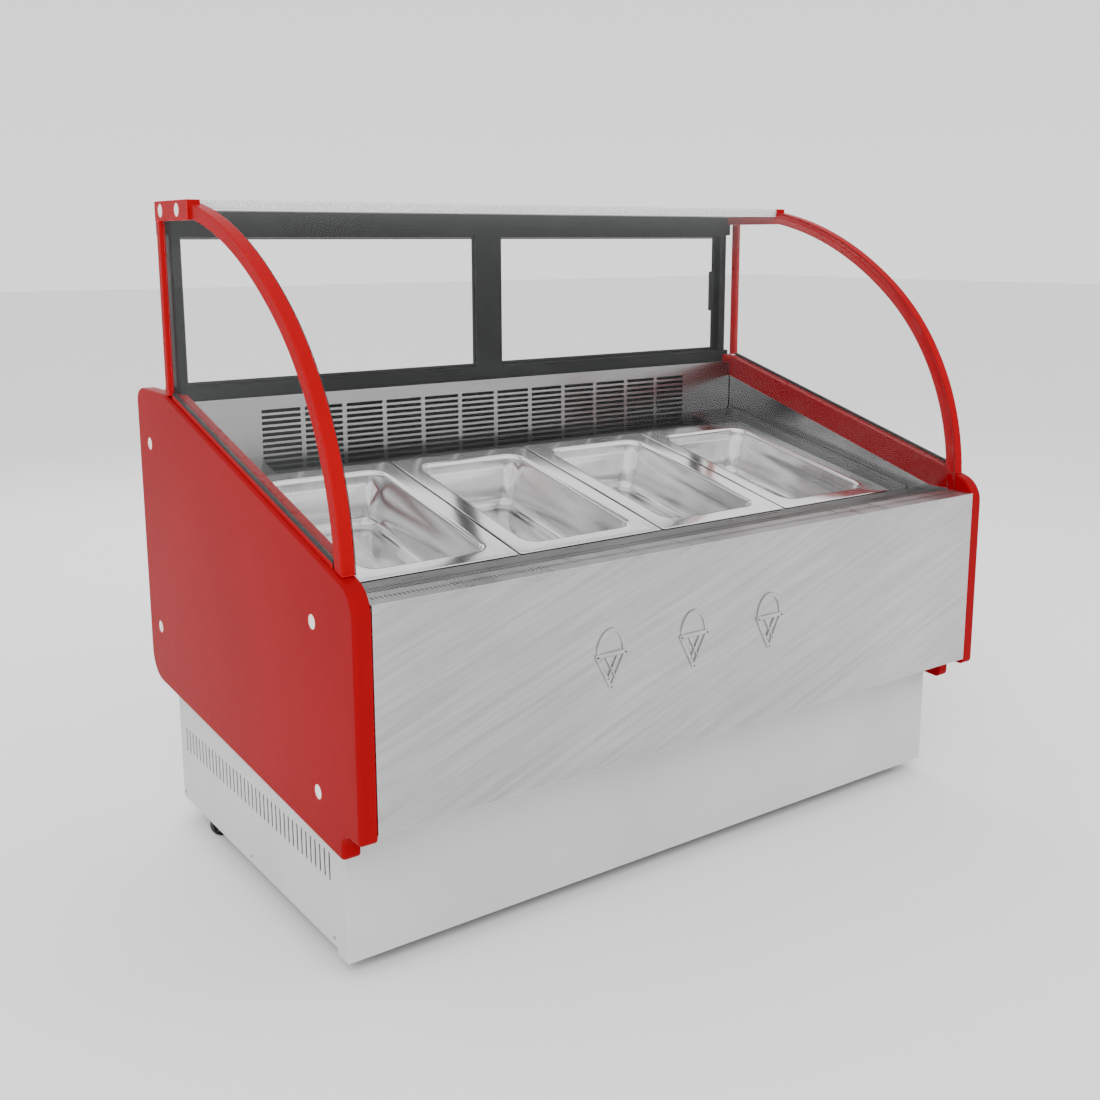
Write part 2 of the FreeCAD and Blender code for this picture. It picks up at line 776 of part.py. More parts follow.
def rear_post(label, right):
    """Slim rounded upright between the side panel and the top bracket."""
    low, high = mirrored(POST_INNER, POST_OUTER, right)
    bottom = panel_slope(POST_BACK) + 1.0
    post = doc.addObject("PartDesign::Body", label)
    outline = polygon_sketch(post, "XY_Plane", bottom, [
        (low, POST_FRONT), (high, POST_FRONT), (high, POST_BACK), (low, POST_BACK),
    ], label + "_outline")
    pad(post, outline, SIZE["bracket_bottom"] - 0.2 - bottom, label + "_pad")
    fillet(post, 4.5, lambda edge: along(edge, Z_AXIS), label + "_edges")
    node(label, post)


make_gaskets()
for is_right, side in ((False, "left"), (True, "right")):
    glass_sill("glass_sill_" + side, is_right)
    rear_post("rear_post_" + side, is_right)


# ---------------------------------------------------------------- arches and glass

ARCH_END = number(SIZE["arch_end"])
JOIN = math.radians(number(SIZE["arch_join_angle"]))
LOWER_CENTRE = (number(SIZE["arch_lower_centre_y"]), number(SIZE["arch_lower_centre_z"]))
LOWER_RADIUS = number(SIZE["arch_lower_radius"])
UPPER_RADIUS = number(SIZE["arch_upper_radius"])
UPPER_CENTRE = (
    LOWER_CENTRE[0] + (UPPER_RADIUS - LOWER_RADIUS) * math.cos(JOIN),
    LOWER_CENTRE[1] - (UPPER_RADIUS - LOWER_RADIUS) * math.sin(JOIN),
)


def curve_point(centre, radius, angle):
    """A point on an arc, with the angle measured up from the horizontal on the front side."""
    return FreeCAD.Vector(0, centre[0] - radius * math.cos(angle), centre[1] + radius * math.sin(angle))


def arch_angles(offset, low_z, end_y):
    """Angles where an offset of the arch starts (at a height) and ends (at a depth)."""
    start = math.asin((low_z - LOWER_CENTRE[1]) / (LOWER_RADIUS + offset))
    end = math.acos((UPPER_CENTRE[0] - end_y) / (UPPER_RADIUS + offset))
    return start, end


def arch_edges(offset, low_z, end_y):
    """Two tangent arcs that follow the arch's inner curve at an offset from it."""
    start, end = arch_angles(offset, low_z, end_y)
    lower = [curve_point(LOWER_CENTRE, LOWER_RADIUS + offset, angle)
             for angle in (start, (start + JOIN) / 2, JOIN)]
    upper = [curve_point(UPPER_CENTRE, UPPER_RADIUS + offset, angle)
             for angle in (JOIN, (JOIN + end) / 2, end)]
    return [Part.Arc(*lower).toShape(), Part.Arc(*upper).toShape()]


def curved_strip(offset_low, offset_high, foot_low, foot_high, end_y, x_low, x_high):
    """A strip between two offsets of the arch, made thick along X."""
    inner = arch_edges(offset_low, foot_low, end_y)
    outer = arch_edges(offset_high, foot_high, end_y)
    ends = [
        Part.LineSegment(inner[0].Vertexes[0].Point, outer[0].Vertexes[0].Point).toShape(),
        Part.LineSegment(inner[1].Vertexes[-1].Point, outer[1].Vertexes[-1].Point).toShape(),
    ]
    wire = Part.Wire(Part.__sortEdges__(inner + outer + ends))
    solid = Part.Face(wire).extrude(FreeCAD.Vector(x_high - x_low, 0, 0))
    solid.translate(FreeCAD.Vector(x_low, 0, 0))
    return solid


def make_arches():
    width = number(SIZE["arch_width"])
    outset = number(SIZE["arch_outset"])
    depth = number(SIZE["arch_depth"])
    slope_at = number(panel_slope(60.0))
    for side, x_low in (("left", -outset), ("right", outset - width)):
        tube = curved_strip(0.0, depth, slope_at + 5.0, slope_at - 1.5, ARCH_END, x_low, x_low + width)
        long_edges = [edge for edge in tube.Edges
                      if isinstance(edge.Curve, Part.Circle) and edge.BoundBox.XLength < 0.01]
        shape_node("arch_" + side, tube.makeFillet(3.0, long_edges))


GLASS_RECESS = 2.0          # the tubes stand this proud of the curved glass


def make_front_glass():
    depth = number(SIZE["arch_depth"])
    thick = number(SIZE["front_glass_thickness"])
    half = number(SIZE["arch_outset"] - SIZE["arch_width"]) - 0.8
    low = number(SIZE["front_panel_top"]) + 0.3
    outer = depth - GLASS_RECESS
    glass = curved_strip(outer - thick, outer, low, low, ARCH_END + 3.0, -half, half)
    shape_node("front_glass", glass)


def make_side_glass(label, right):
    """Flat pane bounded by the gasket, the arch's inner curve, the bracket and the post."""
    gap = CLEAR
    thick = 4.0
    back = POST_FRONT - gap
    top = number(SIZE["bracket_bottom"]) - gap
    start_z = number(panel_slope(GLASS_START)) + GASKET_RISE + gap + 2.0
    top_y = UPPER_CENTRE[0] - math.sqrt((UPPER_RADIUS - gap) ** 2 - (top - UPPER_CENTRE[1]) ** 2)
    arcs = arch_edges(-gap, start_z, top_y)
    foot = arcs[0].Vertexes[0].Point
    crown = arcs[1].Vertexes[-1].Point
    back_low = number(panel_slope(back)) + GASKET_RISE + gap
    corners = [crown, FreeCAD.Vector(0, back, top), FreeCAD.Vector(0, back, back_low), foot]
    lines = [Part.LineSegment(first, second).toShape() for first, second in zip(corners, corners[1:])]
    wire = Part.Wire(Part.__sortEdges__(arcs + lines))
    pane = Part.Face(wire).extrude(FreeCAD.Vector(thick, 0, 0))
    pane.translate(FreeCAD.Vector(737.2 if right else -737.2 - thick, 0, 0))
    shape_node(label, pane)


def top_bracket(label, right):
    """Flat plate that joins the arch, the post and the shelf, with two blind holes for caps."""
    low, high = mirrored(724.0, POST_OUTER, right)
    corners = [
        (ARCH_END + 0.2, SIZE["bracket_bottom"]), (SIZE["bracket_end"], SIZE["bracket_bottom"]),
        (SIZE["bracket_end"], SIZE["overall_height"]), (ARCH_END + 0.2, SIZE["overall_height"]),
    ]
    plate = side_prism(label + "_plate", low, high, corners,
                       [(1, 2.0), (2, 2.0), (3, 2.0)])
    holes = []
    face = POST_OUTER - 4.0 if right else -POST_OUTER
    for y, z in BRACKET_CAP_SPOTS:
        holes.append(cylinder((face, y, z), SIZE["cap_radius"] + 0.2, 4.0, "x", label + "_hole"))
    node(label, cut(plate, fuse(holes), label))


BRACKET_CAP_SPOTS = [(755.0, 1256.5), (667.0, 1256.5)]

make_arches()
make_front_glass()
for is_right, side in ((False, "left"), (True, "right")):
    make_side_glass("side_glass_" + side, is_right)
    top_bracket("top_bracket_" + side, is_right)
cap_plugs("bracket_caps", POST_OUTER - 0.1, 3.8, BRACKET_CAP_SPOTS)
top_shelf = box((-723.6, 723.6), (614.0, SIZE["door_frame_face"] + SIZE["door_frame_depth"]),
                (SIZE["shelf_bottom"] + 0.2, SIZE["overall_height"]), "top_shelf")
node("top_shelf", top_shelf, 614.0)


# ---------------------------------------------------------------- rear door frame and doors

FRAME_HALF = 736.0
STILE = 13.0
TRACKS = {"left": 793.0, "right": 805.5}
TRACK_WIDTH = 9.4
SASH_THICKNESS = 8.0
SASH_STILE = 18.0
SASH_OVERLAP = 28.0
TRACK_DEPTH = 12.0
PULL_RISE = {"left": 3.4, "right": 16.0}    # the left sash must pass in front of the right one


def make_door_frame():
    """Black frame: front ring with a mullion, head and sill with two tracks, and end plates."""
    face = SIZE["door_frame_face"]
    back = face + SIZE["door_frame_depth"]
    low = SIZE["ledge_height"] + 0.2
    shoulder = SIZE["panel_top_height"] + 0.4
    high = SIZE["shelf_bottom"]
    opening = SIZE["door_opening_half"]
    open_low = SIZE["door_opening_bottom"]
    open_high = SIZE["door_opening_top"]
    ring = face + 5.0
    pieces = [
        box((-BODY_HALF, BODY_HALF), (face, back), (low, open_low)),
        box((-FRAME_HALF, FRAME_HALF), (face, back), (shoulder, open_low)),
        box((-FRAME_HALF, FRAME_HALF), (face, back), (open_high, high)),
        box((-SIZE["mullion_half"], SIZE["mullion_half"]), (face, ring), (low, high)),
    ]
    for sign in (-1, 1):
        inner = opening if sign > 0 else -opening - STILE
        pieces.append(box((inner, inner + STILE), (face, ring), (shoulder, high)))
        end = opening + STILE if sign > 0 else -opening - STILE - 3.0
        pieces.append(box((end, end + 3.0), (face, back), (shoulder, high)))
    grooves = []
    for start in TRACKS.values():
        for bottom, top in ((open_low - TRACK_DEPTH, open_low + 1.0), (open_high - 1.0, open_high + TRACK_DEPTH)):
            grooves.append(box((-opening - STILE, opening + STILE), (start, start + TRACK_WIDTH),
                               (bottom, top)))
    node("door_frame", cut(fuse(pieces), fuse(grooves), "door_frame"))


def door_sash(side):
    """A narrow framed sash with a finger pull on the staff side, and its pane."""
    right = side == "right"
    start = TRACKS[side] + (TRACK_WIDTH - SASH_THICKNESS) / 2
    y_span = (start, start + SASH_THICKNESS)
    outer = number(SIZE["door_opening_half"]) + STILE - 1.0
    low, high = mirrored(-SASH_OVERLAP, outer, right)
    bottom = SIZE["door_opening_bottom"] - TRACK_DEPTH + 0.5
    top = SIZE["door_opening_top"] + TRACK_DEPTH - 1.5
    outside = box((low, high), y_span, (bottom, top))
    rail = 16.0
    inside = box((as_dim(low) + SASH_STILE, as_dim(high) - SASH_STILE), (start - 1.0, start + SASH_THICKNESS + 1.0),
                 (bottom + rail, top - rail))
    sash = cut(outside, inside)
    pull_x = outer - SASH_STILE if right else -outer
    pull = box((pull_x + 3.0, pull_x + 13.0),
               (start + SASH_THICKNESS - 0.5, start + SASH_THICKNESS + PULL_RISE[side]),
               (1020.0, 1120.0))
    node("door_sash_" + side, fuse([sash, pull], "door_sash_" + side))
    middle = start + SASH_THICKNESS / 2
    pane = box((as_dim(low) + SASH_STILE + 0.2, as_dim(high) - SASH_STILE - 0.2), (middle - 2.0, middle + 2.0),
               (bottom + rail + 0.2, top - rail - 0.2), "door_glass_" + side)
    node("door_glass_" + side, pane, middle - 2.0)


make_door_frame()
door_sash("left")
door_sash("right")


# ---------------------------------------------------------------- base

BASE_HALF = SIZE["base_half_width"]
BASE_FRONT = SIZE["base_front"]
BASE_BACK = SIZE["base_back"]
SKIRT_TOP = SIZE["skirt_top"]
FRAME_LOW = SIZE["frame_bottom"]
TRAY = SIZE["tray_height"]
RETURN_END = 145.0
VENT_FIRST = 165.0
VENT_COUNT = 38
VENT_PITCH = 18.2
VENT_SIZE = (7.0, 52.0)
VENT_LOW = 152.0
TUBE = 28.0
DRAIN_SPOT = (0.0, 420.0)


def make_front_skirt():
    """Painted sheet across the front, wrapped a little way along each side."""
    low = SIZE["skirt_gap_front"]
    front = box((-BASE_HALF, BASE_HALF), (BASE_FRONT, BASE_FRONT + SHEET), (low, SKIRT_TOP))
    left = box((-BASE_HALF, -BASE_HALF + SHEET), (BASE_FRONT, RETURN_END), (low, SKIRT_TOP))
    right = box((BASE_HALF - SHEET, BASE_HALF), (BASE_FRONT, RETURN_END), (low, SKIRT_TOP))
    node("base_skirt_front", fuse([front, left, right], "base_skirt_front"))


def side_skirt(label, right):
    """Painted side sheet with a row of upright vent slots."""
    low = number(SIZE["skirt_gap_side"])
    thick = number(SHEET)
    slots = [rounded_slot(VENT_FIRST + index * VENT_PITCH, VENT_LOW, *VENT_SIZE)
             for index in range(VENT_COUNT)]
    flat = slotted_sheet((RETURN_END + 0.2, number(BASE_BACK)), (low, number(SKIRT_TOP)), thick, slots)
    x = number(BASE_HALF) - thick if right else -number(BASE_HALF)
    shape_node(label, stand_sideways(flat, x))


def make_rear_louvre():
    """Rear cover of the machine space, with two columns of long louvre slots."""
    half = number(BASE_HALF - SHEET) - 0.2
    thick = number(SHEET)
    slots = []
    for left_edge in (-430.0, 30.0):
        for line in range(9):
            slots.append(rounded_slot(left_edge, 110.0 + line * 17.0, 340.0, 7.0))
    cover = slotted_sheet((-half, half), (number(SIZE["skirt_gap_side"]), number(SKIRT_TOP)), thick, slots)
    shape_node("base_rear_louvre", stand_up(cover, number(BASE_BACK) - thick))


def make_base_frame():
    """Welded tube frame with corner posts, and the tray that carries the machinery."""
    half = BASE_HALF - SHEET - 0.5
    front = BASE_FRONT + SHEET + 0.5
    back = BASE_BACK - SHEET - 0.5
    level = (FRAME_LOW, FRAME_LOW + TUBE)
    pieces = [
        box((-half, half), (front, front + TUBE), level),
        box((-half, half), (back - TUBE, back), level),
        box((-half, half), (front, back), (TRAY - 2.0, TRAY)),
    ]
    for sign in (-1, 1):
        x = half - TUBE if sign > 0 else -half
        pieces.append(box((x, x + TUBE), (front, back), level))
        pieces.append(box((sign * 230.0 - 14.0, sign * 230.0 + 14.0), (front, back), level))
        for y in (front, back - TUBE):
            pieces.append(box((x, x + TUBE), (y, y + TUBE), (FRAME_LOW, SKIRT_TOP + 1.5)))
    drain_hole = cylinder((DRAIN_SPOT[0], DRAIN_SPOT[1], TRAY - 3.0), 16.0, 4.0)
    node("base_frame", cut(fuse(pieces), drain_hole, "base_frame"))


make_front_skirt()
side_skirt("base_skirt_left", False)
side_skirt("base_skirt_right", True)
make_rear_louvre()
make_base_frame()


# ---------------------------------------------------------------- castors

WHEEL_RADIUS = SIZE["castor_wheel_radius"]
WHEEL_WIDTH = SIZE["castor_wheel_width"]
AXLE_RADIUS = SIZE["axle_radius"]
TRAIL = SIZE["castor_trail"]
PLATE_THICKNESS = 3.0
KINGPIN_RADIUS = 5.0
RUNNING_CLEARANCE = 0.05
CASTOR_SPOTS = {
    "front_left": (-SIZE["castor_half_spacing"], SIZE["castor_front"]),
    "front_right": (SIZE["castor_half_spacing"], SIZE["castor_front"]),
    "rear_left": (-SIZE["castor_half_spacing"], SIZE["castor_rear"]),
    "rear_right": (SIZE["castor_half_spacing"], SIZE["castor_rear"]),
}
CASTOR_TURNS = {"front_left": 0.0, "front_right": 0.0, "rear_left": 90.0, "rear_right": -90.0}


def castor_plates():
    """Four bolted plates, each with the bore that the fork's kingpin turns in."""
    plates = []
    for x, y in CASTOR_SPOTS.values():
        low = FRAME_LOW - PLATE_THICKNESS
        plate = box((x - 22.0, x + 22.0), (y - 26.0, y + 26.0), (low, FRAME_LOW))
        bore = cylinder((x, y, low - 1.0), KINGPIN_RADIUS + RUNNING_CLEARANCE, PLATE_THICKNESS + 2.0)
        plates.append(cut(plate, bore))
    group = doc.addObject("Part::Compound", "castor_plates")
    group.Links = plates
    node("castor_plates", group)


def stand_at(item, x, y, z, turn):
    """Places a sub-part drawn about its own pivot, turned about the vertical."""
    item.Placement = FreeCAD.Placement(FreeCAD.Vector(), FreeCAD.Rotation(Z_AXIS, turn))
    bind(item, "Placement.Base.x", x)
    bind(item, "Placement.Base.z", z)
    node(item.Label, item, y)


def castor_fork(label, x, y, turn):
    """Swivelling head with its kingpin, two legs and the wheel's axle."""
    crown = FRAME_LOW - PLATE_THICKNESS - CLEAR
    crown_low = crown - 6.0
    leg_inner = WHEEL_WIDTH / 2 + 1.0
    leg_outer = leg_inner + 2.0
    pieces = [
        cylinder((0.0, 0.0, crown_low), 15.0, 6.0),
        cylinder((0.0, 0.0, crown_low + 1.0), KINGPIN_RADIUS, PLATE_THICKNESS + CLEAR + 4.6),
        box((-leg_outer, leg_outer), (-10.0, TRAIL + 9.0), (crown_low - 2.0, crown_low + 1.0)),
        cylinder((-leg_outer, TRAIL, WHEEL_RADIUS), AXLE_RADIUS, leg_outer * 2, "x"),
    ]
    for low in (leg_inner, -leg_outer):
        pieces.append(side_prism(label + "_leg", low, low + 2.0, [
            (-10.0, crown_low), (TRAIL - 8.0, WHEEL_RADIUS - 8.0), (TRAIL + 8.0, WHEEL_RADIUS - 8.0),
            (TRAIL + 9.0, crown_low),
        ]))
    fork = fuse(pieces, label)
    fork.Label = label
    stand_at(fork, x, y, 0.0, turn)


def castor_wheel(label, x, y, turn):
    """Moulded wheel turned about its axle, with a rounded tread and a running bore."""
    body = doc.addObject("PartDesign::Body", label)
    half = WHEEL_WIDTH / 2
    bore = AXLE_RADIUS + RUNNING_CLEARANCE
    profile = polygon_sketch(body, "XY_Plane", 0.0, [
        (-half, bore), (half, bore), (half, 10.0), (half - 3.0, 12.0), (half - 3.0, 18.0),
        (half, 20.0), (half - 2.5, WHEEL_RADIUS), (-half + 2.5, WHEEL_RADIUS), (-half, 20.0),
        (-half + 3.0, 18.0), (-half + 3.0, 12.0), (-half, 10.0),
    ], label + "_profile")
    turned = body.newObject("PartDesign::Revolution", label + "_turned")
    turned.Profile = profile
    turned.ReferenceAxis = (profile, ["H_Axis"])
    turned.Angle = 360
    body.Tip = turned
    angle = math.radians(turn)
    stand_at(body, x - TRAIL * math.sin(angle), y + TRAIL * math.cos(angle), WHEEL_RADIUS, turn)


castor_plates()
for spot, (spot_x, spot_y) in CASTOR_SPOTS.items():
    castor_fork("castor_fork_" + spot, spot_x, spot_y, CASTOR_TURNS[spot])
    castor_wheel("castor_wheel_" + spot, spot_x, spot_y, CASTOR_TURNS[spot])


# ---------------------------------------------------------------- refrigeration

COMPRESSOR_SPOT = (-420.0, 560.0)
CONDENSER_Y = (560.0, 620.0)
CONDENSER_X = (60.0, 380.0)
COIL_FINS = 34
FAN_SPOT = (220.0, 196.0)   # X and Z of the condenser fan's axis
FAN_FACE = 634.0
FAN_RADIUS = 84.0
HUB_RADIUS = 20.0


def make_compressor():
    """Hermetic pot: a turned shell with domed ends on a foot plate, and a terminal box."""
    x, y = COMPRESSOR_SPOT
    floor = number(TRAY) + 0.3
    pot = Part.makeCylinder(78.0, 160.0, FreeCAD.Vector(x, y, floor + 14.0))
    rims = [edge for edge in pot.Edges if isinstance(edge.Curve, Part.Circle)]
    pot = pot.makeFillet(34.0, rims)
    foot = Part.makeBox(190.0, 130.0, 4.0, FreeCAD.Vector(x - 95.0, y - 65.0, floor + 12.0))
    pieces = [foot, Part.makeBox(50.0, 30.0, 60.0, FreeCAD.Vector(x - 25.0, y + 66.0, floor + 60.0))]
    for dx in (-80.0, 80.0):
        for dy in (-50.0, 50.0):
            pieces.append(Part.makeCylinder(11.0, 14.0, FreeCAD.Vector(x + dx, y + dy, floor)))
    shape_node("compressor", pot.fuse(pieces).removeSplitter())


def finned_coil(label, x_span, y_span, z_span, rows, fins):
    """Thin upright fins threaded on rows of tubes, with a bend beyond each end."""
    tube_radius = 4.5
    length = x_span[1] - x_span[0]
    pieces = []
    for index in range(fins):
        x = x_span[0] + index * (length - 1.0) / (fins - 1)
        pieces.append(Part.makeBox(1.0, y_span[1] - y_span[0], z_span[1] - z_span[0],
                                   FreeCAD.Vector(x, y_span[0], z_span[0])))
    middle_y = (y_span[0] + y_span[1]) / 2
    pitch = (z_span[1] - z_span[0]) / rows
    heights = [z_span[0] + pitch * (index + 0.5) for index in range(rows)]
    for height in heights:
        pieces.append(Part.makeCylinder(tube_radius, length + 24.0,
                                        FreeCAD.Vector(x_span[0] - 12.0, middle_y, height), X_AXIS))
    for index in range(rows - 1):
        x = x_span[1] + 11.0 if index % 2 == 0 else x_span[0] - 11.0
        pieces.append(Part.makeCylinder(tube_radius, pitch, FreeCAD.Vector(x, middle_y, heights[index])))
    shape_node(label, pieces[0].fuse(pieces[1:]).removeSplitter())


def fan_rotor(label, x, y, z, radius, hub, depth):
    """A hub with a bore and five twisted blades; its axis runs along Y."""
    rotor = Part.makeCylinder(hub, depth, FreeCAD.Vector(0, 0, 0), Y_AXIS)
    blades = []
    for index in range(5):
        blade = Part.makeBox(radius - hub + 4.0, 2.0, hub * 1.7,
                             FreeCAD.Vector(hub - 4.0, -1.0, -hub * 0.85))
        blade.rotate(FreeCAD.Vector(), X_AXIS, 32.0)
        blade.translate(FreeCAD.Vector(0, depth / 2, 0))
        blade.rotate(FreeCAD.Vector(), Y_AXIS, index * 72.0)
        blades.append(blade)
    bore = Part.makeCylinder(3.05, depth + 2.0, FreeCAD.Vector(0, -1.0, 0), Y_AXIS)
    shape = rotor.fuse(blades).cut(bore)
    shape.translate(FreeCAD.Vector(x, y, z))
    shape_node(label, shape)


def make_fan_shroud():
    """Square plate with a round mouth, three arms, the motor and its shaft."""
    x, z = FAN_SPOT
    low_x = CONDENSER_X[0] + 2.0
    width = CONDENSER_X[1] - CONDENSER_X[0] - 4.0
    face = CONDENSER_Y[1] + 1.0
    floor = number(TRAY) + 0.3
    plate = Part.makeBox(width, 2.0, 186.0, FreeCAD.Vector(low_x, face, floor))
    mouth = Part.makeCylinder(FAN_RADIUS + 3.0, 10.0, FreeCAD.Vector(x, face - 2.0, z), Y_AXIS)
    motor_y = FAN_FACE + 30.0
    pieces = [
        Part.makeCylinder(28.0, 50.0, FreeCAD.Vector(x, motor_y, z), Y_AXIS),
        Part.makeCylinder(3.0, 34.0, FreeCAD.Vector(x, motor_y - 28.0, z), Y_AXIS),
    ]
    for dx in (-1, 1):
        arm_x = x + dx * (FAN_RADIUS + 12.0)
        pieces.append(Part.makeBox(8.0, motor_y + 10.0 - face, 8.0, FreeCAD.Vector(arm_x - 4.0, face, z - 4.0)))
        start = min(arm_x, x + dx * 24.0)
        pieces.append(Part.makeBox(abs(arm_x - x) - 24.0 + 4.0, 6.0, 8.0,
                                   FreeCAD.Vector(start - 2.0, motor_y + 6.0, z - 4.0)))
    shape_node("fan_shroud", plate.cut(mouth).fuse(pieces).removeSplitter())


EVAPORATOR_X = (-560.0, 420.0)
EVAPORATOR_FAN_SPOT = (0.0, 806.0)


def make_evaporator_fan_mount():
    """Bracket from the tub's back wall that carries the evaporator fan's motor and shaft."""
    x, z = EVAPORATOR_FAN_SPOT
    back = LINER_BACK - number(SHEET) - 0.2
    motor = Part.makeCylinder(24.0, 46.0, FreeCAD.Vector(x, 846.0, z), Y_AXIS)
    shaft = Part.makeCylinder(3.0, 40.0, FreeCAD.Vector(x, 808.0, z), Y_AXIS)
    plate = Part.makeBox(90.0, back - 890.0, 70.0, FreeCAD.Vector(x - 45.0, 890.0, z - 35.0))
    shape_node("evaporator_fan_motor", motor.fuse([shaft, plate]).removeSplitter())


def pipe_run(points, radius):
    """A round pipe through straight runs, with a ball at each corner."""
    pieces = []
    for start, end in zip(points, points[1:]):
        direction = end - start
        pieces.append(Part.makeCylinder(radius, direction.Length, start, direction))
        pieces.append(Part.makeSphere(radius * 1.02, end))
    return pieces[0].fuse(pieces[1:]).removeSplitter()


def make_pipes():
    """Discharge pipe to the condenser, and the suction pipe that comes down from the tub."""
    x, y = COMPRESSOR_SPOT
    mid_y = sum(CONDENSER_Y) / 2
    tube = 4.0
    discharge = [(x + 78.6, y, 190.0), (x + 120.0, y, 190.0), (x + 120.0, mid_y + 60.0, 190.0),
                 (20.0, mid_y + 60.0, 190.0), (20.0, mid_y, 190.0)]
    suction = [(x - 78.6, y, 170.0), (x - 120.0, y, 170.0), (x - 120.0, y, 292.0)]
    pieces = []
    for route in (discharge, suction):
        pieces.append(pipe_run([FreeCAD.Vector(*point) for point in route], tube))
    shape_node("refrigerant_pipes", Part.makeCompound(pieces))


def make_drain():
    """Condensate drain: a pipe with a collar that ends in a spigot under the machine tray."""
    x, y = DRAIN_SPOT
    outer = Part.makeCylinder(12.5, 210.0, FreeCAD.Vector(x, y, 84.0))
    collar = Part.makeCylinder(20.0, 4.0, FreeCAD.Vector(x, y, 290.0))
    bore = Part.makeCylinder(10.0, 220.0, FreeCAD.Vector(x, y, 80.0))
    shape_node("drain_pipe", outer.fuse(collar).cut(bore).removeSplitter())


make_compressor()
finned_coil("condenser_coil", CONDENSER_X, CONDENSER_Y, (108.0, 284.0), 6, COIL_FINS)
fan_rotor("condenser_fan", FAN_SPOT[0], FAN_FACE, FAN_SPOT[1], FAN_RADIUS, HUB_RADIUS, 24.0)
make_fan_shroud()
finned_coil("evaporator_coil", EVAPORATOR_X, (300.0, 420.0), (346.0, 446.0), 4, 44)
fan_rotor("evaporator_fan", EVAPORATOR_FAN_SPOT[0], 806.0, EVAPORATOR_FAN_SPOT[1], 62.0, 16.0, 20.0)
make_evaporator_fan_mount()
make_pipes()
make_drain()


# ---------------------------------------------------------------- controls on the staff side

BOX_X = (470.0, 640.0)
BOX_Z = (126.0, 206.0)
BOX_FACE = 914.0
KNOB_SPOT = (515.0, 166.0)
SWITCH_SPOT = (595.0, 166.0)
KNOB_RADIUS = 19.0
ROCKER_TILT = 8.0


def make_control_box():
    """Box on the rear cover with a stub shaft for the knob and a recess for the rocker."""
    back = number(BASE_BACK) + CLEAR
    case = Part.makeBox(BOX_X[1] - BOX_X[0], BOX_FACE - back, BOX_Z[1] - BOX_Z[0],
                        FreeCAD.Vector(BOX_X[0], back, BOX_Z[0]))
    front = [edge for edge in case.Edges if abs(edge.CenterOfMass.y - BOX_FACE) < 0.01]
    case = case.makeFillet(4.0, front)
    recess = Part.makeBox(17.0, 20.0, 29.0,
                          FreeCAD.Vector(SWITCH_SPOT[0] - 8.5, BOX_FACE - 12.0, SWITCH_SPOT[1] - 14.5))
    pins = []
    for sign in (-1, 1):
        start = SWITCH_SPOT[0] - 9.0 if sign < 0 else SWITCH_SPOT[0] + 5.0
        pins.append(Part.makeCylinder(1.5, 4.0, FreeCAD.Vector(start, BOX_FACE - 3.0, SWITCH_SPOT[1]), X_AXIS))
    shaft = Part.makeCylinder(3.0, 12.0, FreeCAD.Vector(KNOB_SPOT[0], BOX_FACE - 1.0, KNOB_SPOT[1]), Y_AXIS)
    shape_node("control_box", case.cut(recess).fuse(pins + [shaft]).removeSplitter())


def make_knob():
    """Thermostat knob with a raised grip across it, on the box's stub shaft."""
    x, z = KNOB_SPOT
    base = BOX_FACE + 0.5
    knob = Part.makeCylinder(KNOB_RADIUS, 8.0, FreeCAD.Vector(x, base, z), Y_AXIS)
    rim = [edge for edge in knob.Edges if isinstance(edge.Curve, Part.Circle)
           and edge.CenterOfMass.y > base + 7.0]
    knob = knob.makeFillet(2.0, rim)
    grip = Part.makeBox(8.0, 18.0, 2 * KNOB_RADIUS - 4.0, FreeCAD.Vector(x - 4.0, base, z - KNOB_RADIUS + 2.0))
    upright = [edge for edge in grip.Edges if edge.CenterOfMass.y > base + 17.0]
    grip = grip.makeFillet(1.5, upright)
    bore = Part.makeCylinder(3.05, 12.0, FreeCAD.Vector(x, base - 0.5, z), Y_AXIS)
    shape_node("thermostat_knob", knob.fuse(grip).cut(bore).removeSplitter())


def make_switch():
    """Rocker of the mains switch, tipped to its off side and turning on two small pins."""
    x, z = SWITCH_SPOT
    half_width = 7.5
    corners = [(-3.5, -5.5), (3.0, -12.0), (4.2, -12.0), (2.2, 0.0), (4.2, 12.0), (3.0, 12.0), (-3.5, 5.5)]
    wire = Part.makePolygon([FreeCAD.Vector(-half_width, y, up) for y, up in corners + corners[:1]])
    rocker = Part.Face(wire).extrude(FreeCAD.Vector(2 * half_width, 0, 0))
    rocker = rocker.cut(Part.makeCylinder(1.55, 20.0, FreeCAD.Vector(-10.0, 0, 0), X_AXIS))
    rocker.rotate(FreeCAD.Vector(), X_AXIS, -ROCKER_TILT)
    rocker.translate(FreeCAD.Vector(x, BOX_FACE - 3.0, z))
    shape_node("power_switch", rocker)


def make_gland():
    """Cable gland on the rear cover: a flanged nut with its cable bore."""
    x, z = (-600.0, 150.0)
    back = number(BASE_BACK) + CLEAR
    flange = Part.makeCylinder(16.0, 4.0, FreeCAD.Vector(x, back, z), Y_AXIS)
    corners = [FreeCAD.Vector(x + 12.0 * math.cos(math.radians(60 * index)), back + 4.0,
                              z + 12.0 * math.sin(math.radians(60 * index))) for index in range(7)]
    nut = Part.Face(Part.makePolygon(corners)).extrude(FreeCAD.Vector(0, 12.0, 0))
    bore = Part.makeCylinder(5.0, 30.0, FreeCAD.Vector(x, back - 5.0, z), Y_AXIS)
    shape_node("cable_gland", flange.fuse(nut).cut(bore).removeSplitter())


make_control_box()
make_knob()
make_switch()
make_gland()


# ---------------------------------------------------------------- checks and export

